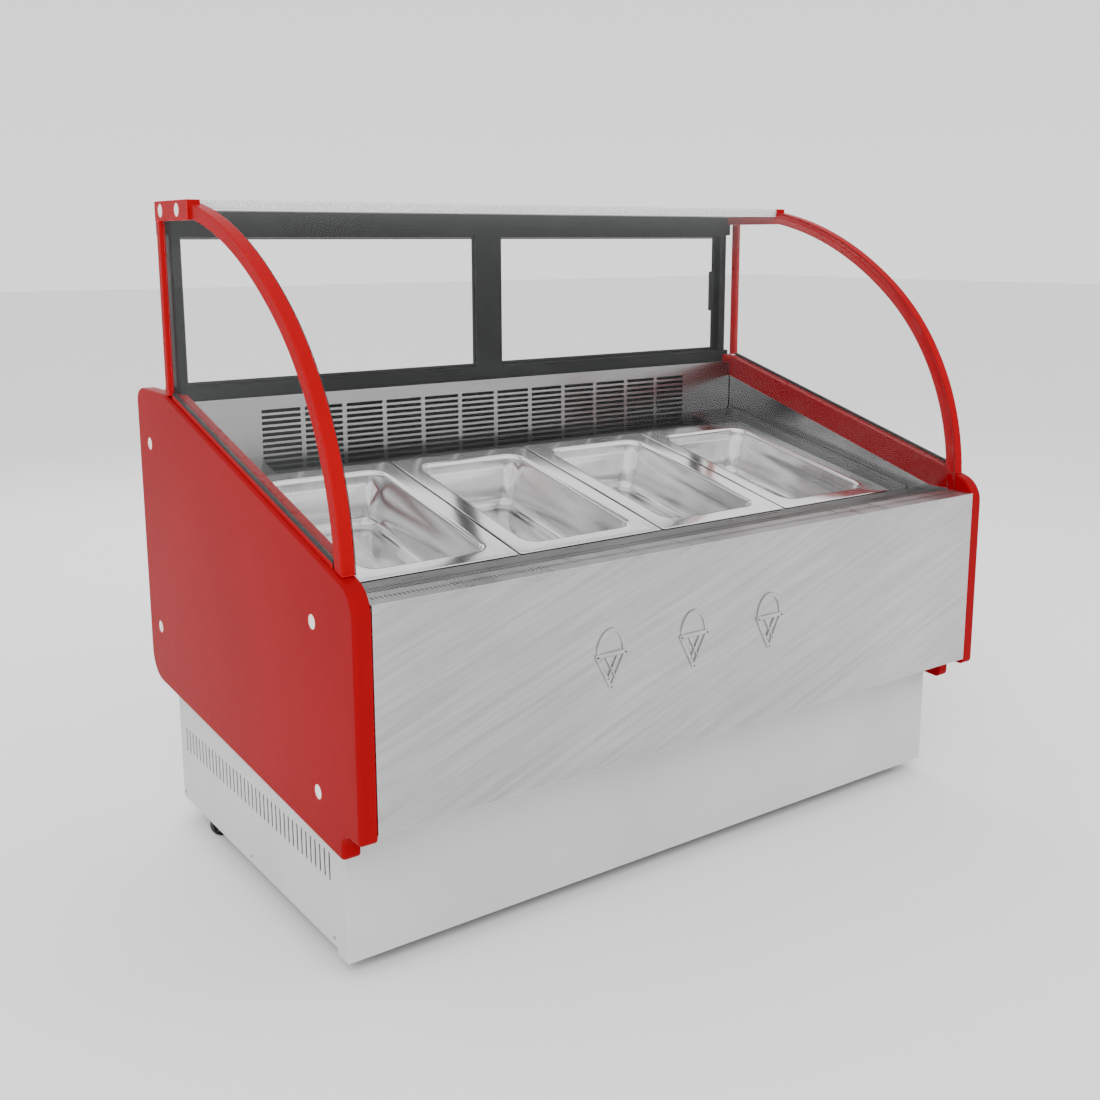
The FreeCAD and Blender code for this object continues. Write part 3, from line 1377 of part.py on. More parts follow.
doc.recompute()
for item in doc.Objects:
    if "Invalid" in item.State or "Error" in item.State:
        raise RuntimeError("failed feature: %s (%s)" % (item.Label, item.State))

os.makedirs("parts", exist_ok=True)
for label, item in NODES.items():
    shape = item.Shape
    if shape.isNull() or not shape.isValid():
        raise RuntimeError("bad shape: " + label)
    shape.exportStep("parts/%s.step" % label)
    size = shape.BoundBox
    print("%-26s %8.1f %8.1f %8.1f  solids %d" % (label, size.XLength, size.YLength, size.ZLength,
                                                   len(shape.Solids)))
print("sub-parts:", len(NODES))
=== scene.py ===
import json
import math
import bmesh
import bpy
from mathutils import Matrix, Vector


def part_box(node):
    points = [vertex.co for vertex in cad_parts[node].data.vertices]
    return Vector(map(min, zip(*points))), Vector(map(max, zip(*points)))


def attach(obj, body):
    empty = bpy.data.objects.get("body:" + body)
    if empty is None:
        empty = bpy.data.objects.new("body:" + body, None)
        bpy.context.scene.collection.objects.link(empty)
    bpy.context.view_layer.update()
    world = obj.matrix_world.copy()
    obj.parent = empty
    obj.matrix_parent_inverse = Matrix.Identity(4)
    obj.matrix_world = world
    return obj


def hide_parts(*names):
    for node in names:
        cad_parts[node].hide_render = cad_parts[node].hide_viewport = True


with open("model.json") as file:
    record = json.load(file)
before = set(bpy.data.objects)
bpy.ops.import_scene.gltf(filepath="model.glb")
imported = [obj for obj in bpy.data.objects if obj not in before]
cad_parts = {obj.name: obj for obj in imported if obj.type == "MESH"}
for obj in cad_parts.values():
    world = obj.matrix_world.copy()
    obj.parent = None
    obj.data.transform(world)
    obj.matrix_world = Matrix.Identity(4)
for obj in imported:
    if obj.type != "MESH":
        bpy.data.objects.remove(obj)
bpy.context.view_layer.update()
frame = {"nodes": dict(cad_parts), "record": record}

NODES = frame["nodes"]
RECORD = frame["record"]
MM = 0.001
SLOT_OF = {row["node"]: row["material_slot"] for row in RECORD["subparts"]}
RECORD_AXIS = {row["name"]: row["axis"] for row in RECORD["behaviour"]["joints"]}


# ---------------------------------------------------------------- material building

class Look:
    """A material whose colour, roughness and bump all come from procedural textures."""

    def __init__(self, name, **uniform):
        self.material = bpy.data.materials.new(name)
        self.material.use_nodes = True
        self.nodes = self.material.node_tree.nodes
        self.links = self.material.node_tree.links
        self.shader = self.nodes["Principled BSDF"]
        self.place = self.add("ShaderNodeTexCoord").outputs["Object"]
        for name_of_input, value in uniform.items():
            self.set(name_of_input.replace("_", " "), value)

    def add(self, kind, inputs=None, **settings):
        made = self.nodes.new(kind)
        for key, value in settings.items():
            setattr(made, key, value)
        for key, value in (inputs or {}).items():
            self.feed(made, key, value)
        return made

    def feed(self, target, key, value):
        socket = target.inputs[key]
        if isinstance(value, bpy.types.NodeSocket):
            self.links.new(value, socket)
        else:
            socket.default_value = value

    def set(self, key, value):
        self.feed(self.shader, key, value)

    def noise(self, scale, stretch=(1, 1, 1), turn=(0, 0, 0), detail=4.0, swirl=0.0):
        shrink = tuple(1.0 / part for part in stretch)
        spread = self.add("ShaderNodeMapping", {"Vector": self.place, "Scale": shrink, "Rotation": turn},
                          vector_type="TEXTURE")
        made = self.add("ShaderNodeTexNoise", {
            "Vector": spread.outputs[0], "Scale": scale, "Detail": detail, "Distortion": swirl})
        return made.outputs["Fac"]

    def remap(self, value, low, high, out_low, out_high):
        made = self.add("ShaderNodeMapRange", {
            "Value": value, "From Min": low, "From Max": high, "To Min": out_low, "To Max": out_high})
        return made.outputs["Result"]

    def math(self, operation, first, second):
        return self.add("ShaderNodeMath", {0: first, 1: second}, operation=operation).outputs[0]

    def blend(self, amount, first, second):
        made = self.add("ShaderNodeMix", data_type="RGBA")
        for index, value in ((0, amount), (6, first), (7, second)):
            socket = made.inputs[index]
            if isinstance(value, bpy.types.NodeSocket):
                self.links.new(value, socket)
            else:
                socket.default_value = value
        return made.outputs[2]

    def edges(self, radius, start=0.99, end=0.75):
        """1 on outer edges and corners, 0 on flat faces."""
        soft = self.add("ShaderNodeBevel", {"Radius": radius}, samples=4).outputs[0]
        flat = self.add("ShaderNodeNewGeometry").outputs["Normal"]
        dot = self.add("ShaderNodeVectorMath", {0: soft, 1: flat}, operation="DOT_PRODUCT")
        return self.remap(dot.outputs["Value"], start, end, 0.0, 1.0)

    def bump(self, height, strength, distance=0.0005):
        made = self.add("ShaderNodeBump", {"Height": height, "Strength": strength, "Distance": distance})
        self.set("Normal", made.outputs["Normal"])


def rgb(red, green, blue):
    return (red, green, blue, 1.0)


def painted(name, colour, edge_highlight_colour, rough, peel=0.04, coat=0.0, dust=0.06, gloss=0.5):
    """Glossy paint or moulding: faint orange peel, drifted tone, and lighter edges painted as a highlight."""
    look = Look(name, Specular_IOR_Level=gloss)
    tone = look.remap(look.noise(3.0), 0.3, 0.7, 0.0, 1.0)
    darker = rgb(*(0.86 * part for part in colour[:3]))
    base = look.blend(tone, darker, colour)
    # painted highlight: the edges blend towards the lighter edge colour
    base = look.blend(look.edges(0.0022), base, edge_highlight_colour)
    look.set("Base Color", base)
    speck = look.noise(60.0, detail=6.0)
    look.set("Roughness", look.remap(speck, 0.3, 0.7, rough, rough + dust))
    look.set("Coat Weight", coat)
    look.set("Coat Roughness", 0.06)
    look.bump(look.noise(420.0, detail=2.0), peel)
    return look.material


def steel(name, colour, dark, rough, scale, stretch, turn=(0, 0, 0), swirl=0.0, grain=0.12, cloud=4.0,
          spread=0.16, raised=None):
    """Brushed or rolled steel: a long grain, slow cloudy patches, and near-white edges painted as a
    highlight.

    raised, when given, is a direction, two heights along it and the colour above them: a painted highlight
    that whitens the tops of the pans' flanges.
    """
    look = Look(name, Metallic=1.0)
    streak = look.noise(scale, stretch, turn, 8.0, swirl)
    patch = look.noise(cloud, tuple(1 + 0.02 * part for part in stretch), turn, 3.0, swirl)
    both = look.math("ADD", look.math("MULTIPLY", streak, 0.6), look.math("MULTIPLY", patch, 0.4))
    amount = look.remap(both, 0.34, 0.66, 0.0, 1.0)
    base = look.blend(amount, dark, colour)
    # painted highlight: above the given heights the steel turns near white
    if raised:
        across, low, high, bright = raised
        height = look.add("ShaderNodeVectorMath", {0: look.place, 1: across}, operation="DOT_PRODUCT")
        base = look.blend(look.remap(height.outputs["Value"], low, high, 0.0, 1.0), base, bright)
    # painted highlight: the edges blend towards near white
    base = look.blend(look.edges(0.0009), base, rgb(0.93, 0.93, 0.93))
    look.set("Base Color", base)
    look.set("Roughness", look.remap(streak, 0.3, 0.7, rough, rough + spread))
    look.bump(look.noise(scale * 6.0, stretch, turn, 6.0), grain, 0.0003)
    return look.material


def matt(name, colour, worn, rough, texture=300.0, depth=0.15, metallic=0.0, gloss=0.5):
    """Moulded plastic, rubber, foam or dull paint: a fine pebble grain and rubbed edges."""
    look = Look(name, Metallic=metallic, Specular_IOR_Level=gloss)
    tone = look.noise(8.0, detail=5.0)
    lighter = rgb(*(1.25 * part for part in colour[:3]))
    base = look.blend(look.remap(tone, 0.3, 0.7, 0.0, 1.0), colour, lighter)
    base = look.blend(look.math("MULTIPLY", look.edges(0.0012), 0.6), base, worn)
    look.set("Base Color", base)
    look.set("Roughness", look.remap(tone, 0.3, 0.7, rough, min(rough + 0.15, 1.0)))
    look.bump(look.noise(texture, detail=3.0), depth)
    return look.material


def glass(name, tint, strength):
    """Thin clear glass: what shows is its reflection, stronger at a glancing angle and on edges."""
    look = Look(name, Metallic=1.0, IOR=1.5)
    look.set("Base Color", look.blend(look.noise(5.0), tint, rgb(1.0, 1.0, 1.0)))
    facing = look.add("ShaderNodeLayerWeight", {"Blend": 0.5}).outputs["Facing"]
    glance = look.math("POWER", facing, 5.0)
    smear = look.remap(look.noise(9.0, (1, 1, 2.5), detail=7.0), 0.45, 0.75, 0.0, 0.004)
    shown = look.math("ADD", look.math("MULTIPLY", glance, strength), look.math("ADD", smear, 0.008))
    edge = look.math("MULTIPLY", look.edges(0.0012, 0.9, 0.7), 0.25)
    look.set("Alpha", look.math("MINIMUM", look.math("ADD", shown, edge), 1.0))
    look.set("Roughness", look.remap(look.noise(30.0, detail=5.0), 0.3, 0.7, 0.012, 0.04))
    look.bump(look.noise(6.0), 0.02)
    return look.material


def speckled(name):
    """Pale speckled board with a slight sparkle."""
    look = Look(name)
    grains = look.add("ShaderNodeTexVoronoi", {"Vector": look.place, "Scale": 420.0})
    amount = look.remap(grains.outputs["Distance"], 0.1, 0.6, 0.0, 1.0)
    base = look.blend(amount, rgb(0.33, 0.35, 0.36), rgb(0.74, 0.75, 0.75))
    base = look.blend(look.edges(0.0012), base, rgb(0.85, 0.86, 0.86))
    look.set("Base Color", base)
    look.set("Roughness", look.remap(look.noise(80.0), 0.3, 0.7, 0.32, 0.5))
    look.bump(amount, 0.06, 0.0002)
    return look.material


def copper(name):
    look = Look(name, Metallic=1.0)
    dull = look.remap(look.noise(14.0, detail=6.0), 0.4, 0.65, 0.0, 1.0)
    look.set("Base Color", look.blend(dull, rgb(0.78, 0.36, 0.2), rgb(0.36, 0.17, 0.1)))
    look.set("Roughness", look.remap(dull, 0.0, 1.0, 0.22, 0.5))
    look.bump(look.noise(160.0), 0.08)
    return look.material


# the deck's normal, the heights along it between the pans' wells and their flanges, and the near-white colour
# painted above them as a highlight on the flanges
DECK_NORMAL = tuple(RECORD_AXIS["pan_1_lift"])
FLANGE_HIGHLIGHT = (DECK_NORMAL, 0.692, 0.698, rgb(0.97, 0.97, 0.97))

LOOKS = {
    # the second colour given to painted() is the painted highlight on the edges
    "red_gloss": painted("red_gloss", rgb(0.27, 0.0004, 0.004), rgb(0.92, 0.001, 0.012),
                         0.3, 0.004, 0.03, gloss=0.02),
    "red_paint": painted("red_paint", rgb(0.33, 0.0006, 0.005), rgb(0.9, 0.001, 0.012),
                         0.24, 0.004, 0.02, gloss=0.02),
    "white_plastic": painted("white_plastic", rgb(0.86, 0.86, 0.84), rgb(0.95, 0.95, 0.93), 0.3),
    "brushed_steel": steel("brushed_steel", rgb(0.54, 0.54, 0.54), rgb(0.36, 0.36, 0.365), 0.24, 4.0,
                           (1.0, 1.0, 22.0), (0.0, -0.34, 0.0), 0.45, 0.05, 1.2),
    "polished_steel": steel("polished_steel", rgb(0.36, 0.36, 0.36), rgb(0.315, 0.315, 0.32), 0.2, 5.0,
                            (1.0, 1.0, 14.0), grain=0.0, cloud=1.5, spread=0.03),
    "pan_steel": steel("pan_steel", rgb(0.80, 0.80, 0.80), rgb(0.62, 0.62, 0.625), 0.13, 5.0,
                       (6.0, 1.0, 1.0), grain=0.0, spread=0.06, raised=FLANGE_HIGHLIGHT),
    "strip_steel": steel("strip_steel", rgb(0.30, 0.30, 0.30), rgb(0.2, 0.2, 0.205), 0.26, 6.0,
                         (1.0, 8.0, 1.0), grain=0.01),
    "galvanised": steel("galvanised", rgb(0.44, 0.455, 0.47), rgb(0.36, 0.37, 0.385), 0.36, 60.0,
                        (1.0, 1.0, 1.0), swirl=1.2, grain=0.03),
    "foam": matt("foam", rgb(0.72, 0.62, 0.36), rgb(0.85, 0.78, 0.5), 0.8, 700.0, 0.5),
    "black_trim": matt("black_trim", rgb(0.012, 0.012, 0.013), rgb(0.05, 0.05, 0.05), 0.38, gloss=0.12),
    "black_rubber": matt("black_rubber", rgb(0.011, 0.011, 0.011), rgb(0.04, 0.04, 0.04), 0.6, 500.0, 0.3),
    "duct_shade": matt("duct_shade", rgb(0.006, 0.006, 0.006), rgb(0.012, 0.012, 0.012), 0.9, gloss=0.0),
    # painted shade: a darker copy of the red paint for the glass sills
    "sill_red_painted_shade": painted("sill_red_painted_shade", rgb(0.2, 0.003, 0.006), rgb(0.5, 0.003, 0.01),
                          0.26, 0.004, gloss=0.05),
    "clear_glass": glass("clear_glass", rgb(0.86, 0.95, 0.93), 0.1),
    "shelf_board": speckled("shelf_board"),
    "grey_paint": painted("grey_paint", rgb(0.56, 0.56, 0.56), rgb(0.7, 0.7, 0.7), 0.42, 0.03),
    "dark_steel": matt("dark_steel", rgb(0.03, 0.03, 0.032), rgb(0.2, 0.2, 0.2), 0.4, 260.0, 0.1, 0.4),
    "aluminium_fins": steel("aluminium_fins", rgb(0.62, 0.62, 0.64), rgb(0.38, 0.38, 0.4),
                            0.3, 60.0, (1, 1, 1)),
    "copper_pipe": copper("copper_pipe"),
    "grey_plastic": matt("grey_plastic", rgb(0.13, 0.13, 0.135), rgb(0.3, 0.3, 0.3), 0.45),
}


# ---------------------------------------------------------------- mesh building

def piece(name, points, faces, body, slot, sharp=35.0, bevel=0.0, look=None):
    """Adds a mesh to the object; it rides on a body and takes a material slot's look."""
    mesh = bpy.data.meshes.new(name)
    mesh.from_pydata([tuple(point) for point in points], [], faces)
    work = bmesh.new()
    work.from_mesh(mesh)
    bmesh.ops.remove_doubles(work, verts=work.verts, dist=1e-7)
    bmesh.ops.recalc_face_normals(work, faces=work.faces)
    work.to_mesh(mesh)
    work.free()
    mesh.shade_smooth()
    mesh.set_sharp_from_angle(angle=math.radians(sharp))
    mesh.materials.append(LOOKS[look or slot])
    made = bpy.data.objects.new(name, mesh)
    bpy.context.scene.collection.objects.link(made)
    if bevel:
        soften(made, bevel)
    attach(made, body)
    return made


def soften(item, width, segments=2):
    made = item.modifiers.new("soft_edges", "BEVEL")
    made.width = width
    made.segments = segments
    made.limit_method = "ANGLE"
    made.angle_limit = math.radians(40)
    made.harden_normals = True


def merged(parts):
    """Several (points, faces) meshes as one."""
    points = []
    faces = []
    for more_points, more_faces in parts:
        shift = len(points)
        points += more_points
        faces += [tuple(index + shift for index in face) for face in more_faces]
    return points, faces


def stacked(loops, closed=True):
    """Skin over loops that all hold the same number of points, with both ends closed."""
    count = len(loops[0])
    points = [point for loop in loops for point in loop]
    faces = []
    for level in range(len(loops) - 1):
        for index in range(count):
            after = (index + 1) % count
            base = level * count
            faces.append((base + index, base + after, base + count + after, base + count + index))
    if closed:
        faces.append(tuple(range(count - 1, -1, -1)))
        faces.append(tuple(range(len(points) - count, len(points))))
    return points, faces


def turned(centre, axis, profile, segments=40):
    """A solid of revolution from (radius, height) pairs, starting at centre along axis."""
    axis = Vector(axis).normalized()
    side = axis.orthogonal().normalized()
    other = axis.cross(side)
    loops = []
    for radius, height in profile:
        radius = max(radius, 1e-5)
        loops.append([
            Vector(centre) + axis * height
            + (side * math.cos(turn) + other * math.sin(turn)) * radius
            for turn in (2 * math.pi * index / segments for index in range(segments))])
    return stacked(loops)


def block(low, high):
    (x0, y0, z0), (x1, y1, z1) = low, high
    ring = [(x0, y0), (x1, y0), (x1, y1), (x0, y1)]
    return stacked([[Vector((x, y, z)) for x, y in ring] for z in (z0, z1)])


def tube(path, radius, segments=14):
    """A round pipe through points, with loops that stay square to the path."""
    loops = []
    side = None
    for index, point in enumerate(path):
        before = path[max(index - 1, 0)]
        after = path[min(index + 1, len(path) - 1)]
        along = (after - before).normalized()
        side = along.orthogonal() if side is None else side - along * side.dot(along)
        side = side.normalized()
        other = along.cross(side)
        loops.append([point + (side * math.cos(turn) + other * math.sin(turn)) * radius
                      for turn in (2 * math.pi * step / segments for step in range(segments))])
    return stacked(loops)


def with_bends(corners, radius, steps=8):
    """A path through corners whose turns are rounded."""
    path = [corners[0]]
    for before, corner, after in zip(corners, corners[1:], corners[2:]):
        start = corner + (before - corner).normalized() * radius
        end = corner + (after - corner).normalized() * radius
        for step in range(steps + 1):
            part = step / steps
            path.append(start.lerp(corner, part).lerp(corner.lerp(end, part), part))
    path.append(corners[-1])
    return path


def prism_x(x_low, x_high, outline):
    """A strip along X from an outline in Y and Z."""
    return stacked([[Vector((x, y, z)) for y, z in outline] for x in (x_low, x_high)])


def centre_of(node):
    low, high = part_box(node)
    return (low + high) / 2


# ---------------------------------------------------------------- the CAD nodes' own looks

# the glass sills take the darker red of painted shade
OWN_LOOK = {"air_return_grille": "strip_steel",
            "glass_sill_left": "sill_red_painted_shade", "glass_sill_right": "sill_red_painted_shade"}

for label, item in NODES.items():
    item.data.materials.clear()
    item.data.materials.append(LOOKS[OWN_LOOK.get(label, SLOT_OF[label])])
    item.data.shade_smooth()
    item.data.set_sharp_from_angle(angle=math.radians(32))

for label in ("top_shelf", "door_frame", "door_sash_left", "door_sash_right", "control_box",
              "base_rear_louvre", "castor_fork_front_left", "castor_fork_front_right",
              "castor_fork_rear_left", "castor_fork_rear_right", "power_switch"):
    soften(NODES[label], 0.0008)


# ---------------------------------------------------------------- pans

def rounded_loop(half_x, half_y, radius, height, steps=6):
    loop = []
    for start, sign_x, sign_y in ((180, -1, -1), (270, 1, -1), (0, 1, 1), (90, -1, 1)):
        for step in range(steps + 1):
            turn = math.radians(start + 90.0 * step / steps)
            loop.append(Vector((sign_x * (half_x - radius) + radius * math.cos(turn),
                                sign_y * (half_y - radius) + radius * math.sin(turn), height)))
    return loop


PAN_LOOPS = [
    # half width, half length, corner radius, height: underneath first, then over the rim and down
    (60, 140, 12, -111.0), (104, 188, 14, -111.0), (113, 197, 20, -104.0), (122, 205, 30, -8.0),
    (124, 208, 31, -1.2), (162, 243, 6, -1.2), (163.2, 244.2, 6, -1.1), (163.7, 244.7, 6, -0.6),
    (163.2, 244.2, 6, -0.05), (161.5, 242.5, 6, 0.0), (150, 232, 14, -0.1), (131, 214, 36, -0.2),
    (126, 209.5, 34, -0.5), (123, 206.8, 32, -1.8), (121.2, 205.0, 30, -4.6), (120.4, 204.2, 30, -9.0),
    (119.2, 203.2, 30, -34.0), (118.2, 202.2, 30, -35.6), (113.6, 198.0, 30, -92.0),
    (111.6, 196.0, 30, -101.0), (107.0, 191.4, 28, -107.0), (99.0, 183.4, 22, -109.7),
    (88, 172, 16, -109.9), (86, 170, 15, -108.9), (20, 104, 6, -108.3), (16, 100, 5, -109.0),
    (2, 86, 1, -109.2),
]


def make_pans():
    _, normal_y, normal_z = DECK_NORMAL
    tilt = Matrix.Rotation(math.atan2(-normal_y, normal_z), 4, "X")
    for index in range(1, 5):
        node = "pan_%d" % index
        low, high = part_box(node)
        points, faces = stacked([rounded_loop(x * MM, y * MM, r * MM, z * MM) for x, y, r, z in PAN_LOOPS])
        points = [tilt @ point for point in points]
        top = max(point.z for point in points)
        far = max(point.y for point in points)
        shift = Vector(((low.x + high.x) / 2, high.y - far, high.z - top))
        made = piece("pressed_" + node, [point + shift for point in points], faces,
                     "pan_body_%d" % index, "polished_steel", 60.0, look="pan_steel")
        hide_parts(node)


make_pans()


# ---------------------------------------------------------------- caps and screws

def loose_parts(node):
    """Boxes of a node's separate solids."""
    mesh = NODES[node].data
    work = bmesh.new()
    work.from_mesh(mesh)
    bmesh.ops.remove_doubles(work, verts=work.verts, dist=1e-6)
    seen = set()
    boxes = []
    for start in work.verts:
        if start.index in seen:
            continue
        group = []
        open_ends = [start]
        seen.add(start.index)
        while open_ends:
            vertex = open_ends.pop()
            group.append(vertex.co.copy())
            for edge in vertex.link_edges:
                other = edge.other_vert(vertex)
                if other.index not in seen:
                    seen.add(other.index)
                    open_ends.append(other)
        low = Vector([min(point[axis] for point in group) for axis in range(3)])
        high = Vector([max(point[axis] for point in group) for axis in range(3)])
        boxes.append((low, high))
    work.free()
    return boxes


def dome_caps(node, name):
    """A domed cap with a small flat brim in place of each plug, and a black ring of painted shade in the gap
    round it.
    """
    parts = []
    gap_shade_rings = []
    for low, high in loose_parts(node):
        out = 1.0 if high.x > 0 else -1.0
        radius = (high.z - low.z) / 2
        face = high.x if out > 0 else low.x
        centre = Vector((face - out * 3.0 * MM, (low.y + high.y) / 2, (low.z + high.z) / 2))
        parts.append(turned(centre, (out, 0, 0), [
            (0, 0), (radius, 0), (radius, 2.2 * MM), (radius * 0.93, 2.6 * MM),
            (radius * 0.86, 2.45 * MM), (radius * 0.7, 2.8 * MM), (radius * 0.4, 2.98 * MM), (0, 3.0 * MM)]))
        # painted shade: a black ring fills the gap between each cap and its hole
        gap_shade_rings.append(turned(centre, (out, 0, 0), [
            (radius, 0), (radius * 1.06, 0), (radius * 1.06, 2.35 * MM), (radius, 2.35 * MM)]))
    made = piece(name, *merged(parts), "cabinet", "white_plastic")
    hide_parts(node)
    piece(name + "_gap_shade_rings", *merged(gap_shade_rings), "cabinet", "black_rubber")


def rear_seams():
    """Folded seams and rivets on the rear of the case, and a rolled edge along its bottom."""
    low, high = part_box("body_shell")
    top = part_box("rear_wall_grille")[1]
    strips = []
    rivets = []
    for x in (low.x + 16 * MM, low.x / 3, high.x / 3, high.x - 16 * MM):
        wide = 11 * MM
        foot, shoulder, crest = (high.y + out * MM for out in (-0.2, 0.9, 1.5))
        outline = [(x - wide, foot), (x - wide, shoulder), (x - wide * 0.8, crest),
                   (x + wide * 0.8, crest), (x + wide, shoulder), (x + wide, foot)]
        loops = [[Vector((u, v, z)) for u, v in outline] for z in (low.z + 10 * MM, top.z - 36 * MM)]
        strips.append(stacked(loops))
        for step in range(7):
            z = low.z + 40 * MM + step * (top.z - low.z - 110 * MM) / 6
            rivets.append(turned((x, high.y + 1.4 * MM, z), (0, 1, 0), [
                (3.2 * MM, 0), (3.0 * MM, 0.7 * MM), (1.8 * MM, 1.3 * MM), (0, 1.5 * MM)], 18))
    lip = [(high.y - 0.2 * MM, low.z - 0.4 * MM), (high.y + 1.2 * MM, low.z),
           (high.y + 2.0 * MM, low.z + 3 * MM),
           (high.y + 1.2 * MM, low.z + 7 * MM), (high.y - 0.2 * MM, low.z + 8 * MM)]
    strips.append(prism_x(low.x + 2 * MM, high.x - 2 * MM, lip))
    piece("rear_seam_strips", *merged(strips), "cabinet", "galvanised")
    piece("rear_rivets", *merged(rivets), "cabinet", "galvanised")


rear_seams()
dome_caps("panel_caps", "panel_cap_domes")
dome_caps("bracket_caps", "bracket_cap_domes")


def screw(centre, axis, radius=3.6 * MM, proud=1.8 * MM):
    """A pan-head screw whose cross recess is a black cross of painted shade laid on its head."""
    axis = Vector(axis)
    head = turned(centre, axis, [
        (radius, 0), (radius, proud * 0.35), (radius * 0.85, proud * 0.75),
        (radius * 0.55, proud * 0.95), (0, proud)], 20)
    side = axis.orthogonal().normalized()
    other = axis.cross(side).normalized()
    # painted shade: the cross recess is two thin black plates on the head
    recess_shade_marks = []
    for first, second in ((side, other), (other, side)):
        loops = []
        for lift in (proud * 0.98, proud * 1.02):
            middle = Vector(centre) + axis * lift
            loops.append([middle + first * (a * radius * 0.5) + second * (b * radius * 0.09)
                          for a, b in ((-1, -1), (1, -1), (1, 1), (-1, 1))])
        recess_shade_marks.append(stacked(loops))
    return head, merged(recess_shade_marks)


def screws(name, spots, axis, body="cabinet", radius=3.6 * MM):
    heads = []
    recess_shade_marks = []
    for spot in spots:
        head, recess_shade = screw(spot, axis, radius)
        heads.append(head)
        recess_shade_marks.append(recess_shade)
    piece(name, *merged(heads), body, "galvanised")
    # the recesses are painted shade
    piece(name + "_recess_shades", *merged(recess_shade_marks), body, "black_rubber")


def base_screws():
    low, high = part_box("base_rear_louvre")
    spots = [Vector((x, high.y, z)) for x in (low.x + 20 * MM, -20 * MM, high.x - 20 * MM)
             for z in (low.z + 18 * MM, high.z - 14 * MM)]
    screws("louvre_screws", spots, (0, 1, 0))
    for side, out in (("left", -1), ("right", 1)):
        low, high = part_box("base_skirt_" + side)
        face = low.x if out < 0 else high.x
        spots = [Vector((face, y, low.z + 14 * MM))
                 for y in (low.y + 12 * MM, (low.y + high.y) / 2, high.y - 12 * MM)]
        screws("skirt_screws_" + side, spots, (out, 0, 0))
    low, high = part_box("rear_wall_grille")
    spots = [Vector((x, high.y - 14 * MM, high.z)) for x in
             (low.x + 40 * MM, low.x / 2, 0.0, high.x / 2, high.x - 40 * MM)]
    screws("ledge_screws", spots, (0, 0, 1), radius=3.0 * MM)


base_screws()


# ---------------------------------------------------------------- front panel trim and motif

def front_trim():
    """Two fine raised lines along the panel's top edge, and a dark block of painted shade under the flange's
    slots.
    """
    low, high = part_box("front_panel")
    lines = []
    for drop in (3.0, 8.5):
        z = high.z - drop * MM
        outline = [(low.y + 0.2 * MM, z + 1.1 * MM), (low.y - 0.55 * MM, z + 0.5 * MM),
                   (low.y - 0.7 * MM, z), (low.y - 0.55 * MM, z - 0.5 * MM), (low.y + 0.2 * MM, z - 1.1 * MM)]
        lines.append(prism_x(low.x + 1 * MM, high.x - 1 * MM, outline))
    piece("front_edge_beads", *merged(lines), "cabinet", "brushed_steel")
    # painted shade: a dark block under the flange's slots stands in for the unlit space below
    flange_shade = block((low.x + 6 * MM, low.y + 22 * MM, high.z - 2.6 * MM),
                 (high.x - 6 * MM, low.y + 43 * MM, high.z - 1.6 * MM))
    piece("flange_duct_painted_shade", *flange_shade, "cabinet", "black_rubber", look="duct_shade")


SLOT_PITCH = 8.0 * MM
FLANGE_SLOT = (2.6 * MM, 14.0 * MM)
STRIP_SLOT = (2.8 * MM, 17.0 * MM)
STRIP_SHEET = 1.2 * MM
RIB_GAP = 0.15 * MM


def slot_shade_rows(first, last, start, size, over, corner, slope, depths):
    """Dark blocks of painted shade that stand up in a row of slots, just short of the sheet's top face, to
    stand for the unlit ducts below.
    """
    along = Vector((0, math.cos(slope), math.sin(slope)))
    up = Vector((0, -math.sin(slope), math.cos(slope)))
    parts = []
    for index in range(int((last - first) / SLOT_PITCH)):
        x = first + start + index * SLOT_PITCH
        points = []
        for depth in depths:
            left, right = x + RIB_GAP, x + size[0] - RIB_GAP
            front, back = over + RIB_GAP, over + size[1] - RIB_GAP
            for x_at, run in ((left, front), (right, front), (right, back), (left, back)):
                points.append(Vector((x_at, 0, 0)) + corner + along * run - up * depth)
        faces = [(0, 1, 2, 3), (7, 6, 5, 4), (0, 4, 5, 1), (1, 5, 6, 2), (2, 6, 7, 3), (3, 7, 4, 0)]
        parts.append((points, faces))
    return parts


def slot_shade_plugs():
    """The painted-shade blocks in the flange's row and in the strip's two staggered rows."""
    low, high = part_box("front_panel")
    corner = Vector((0, low.y, high.z))
    ribs = slot_shade_rows(low.x + 16 * MM, high.x - 16 * MM, 0.0, FLANGE_SLOT, 27 * MM, corner, 0.0,
                     (0.4 * MM, 1.7 * MM))
    low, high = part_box("air_return_grille")
    slope = math.atan2(low.z + STRIP_SHEET - high.z, high.y - low.y)
    corner = Vector((0, low.y, high.z))
    for over, start in ((16 * MM, 0.0), (40 * MM, SLOT_PITCH / 2)):
        ribs += slot_shade_rows(low.x + 12 * MM, high.x - 12 * MM, start, STRIP_SLOT, over, corner, slope,
                          (0.35 * MM, 2.7 * MM))
    piece("slot_painted_shade_plugs", *merged(ribs), "cabinet", "black_rubber", look="duct_shade")


GASKET_TALL = 12.7 * MM
LIP_GAP = 0.1 * MM
LIP_THICK = 1.0 * MM
LIP_TALL = 7.5 * MM


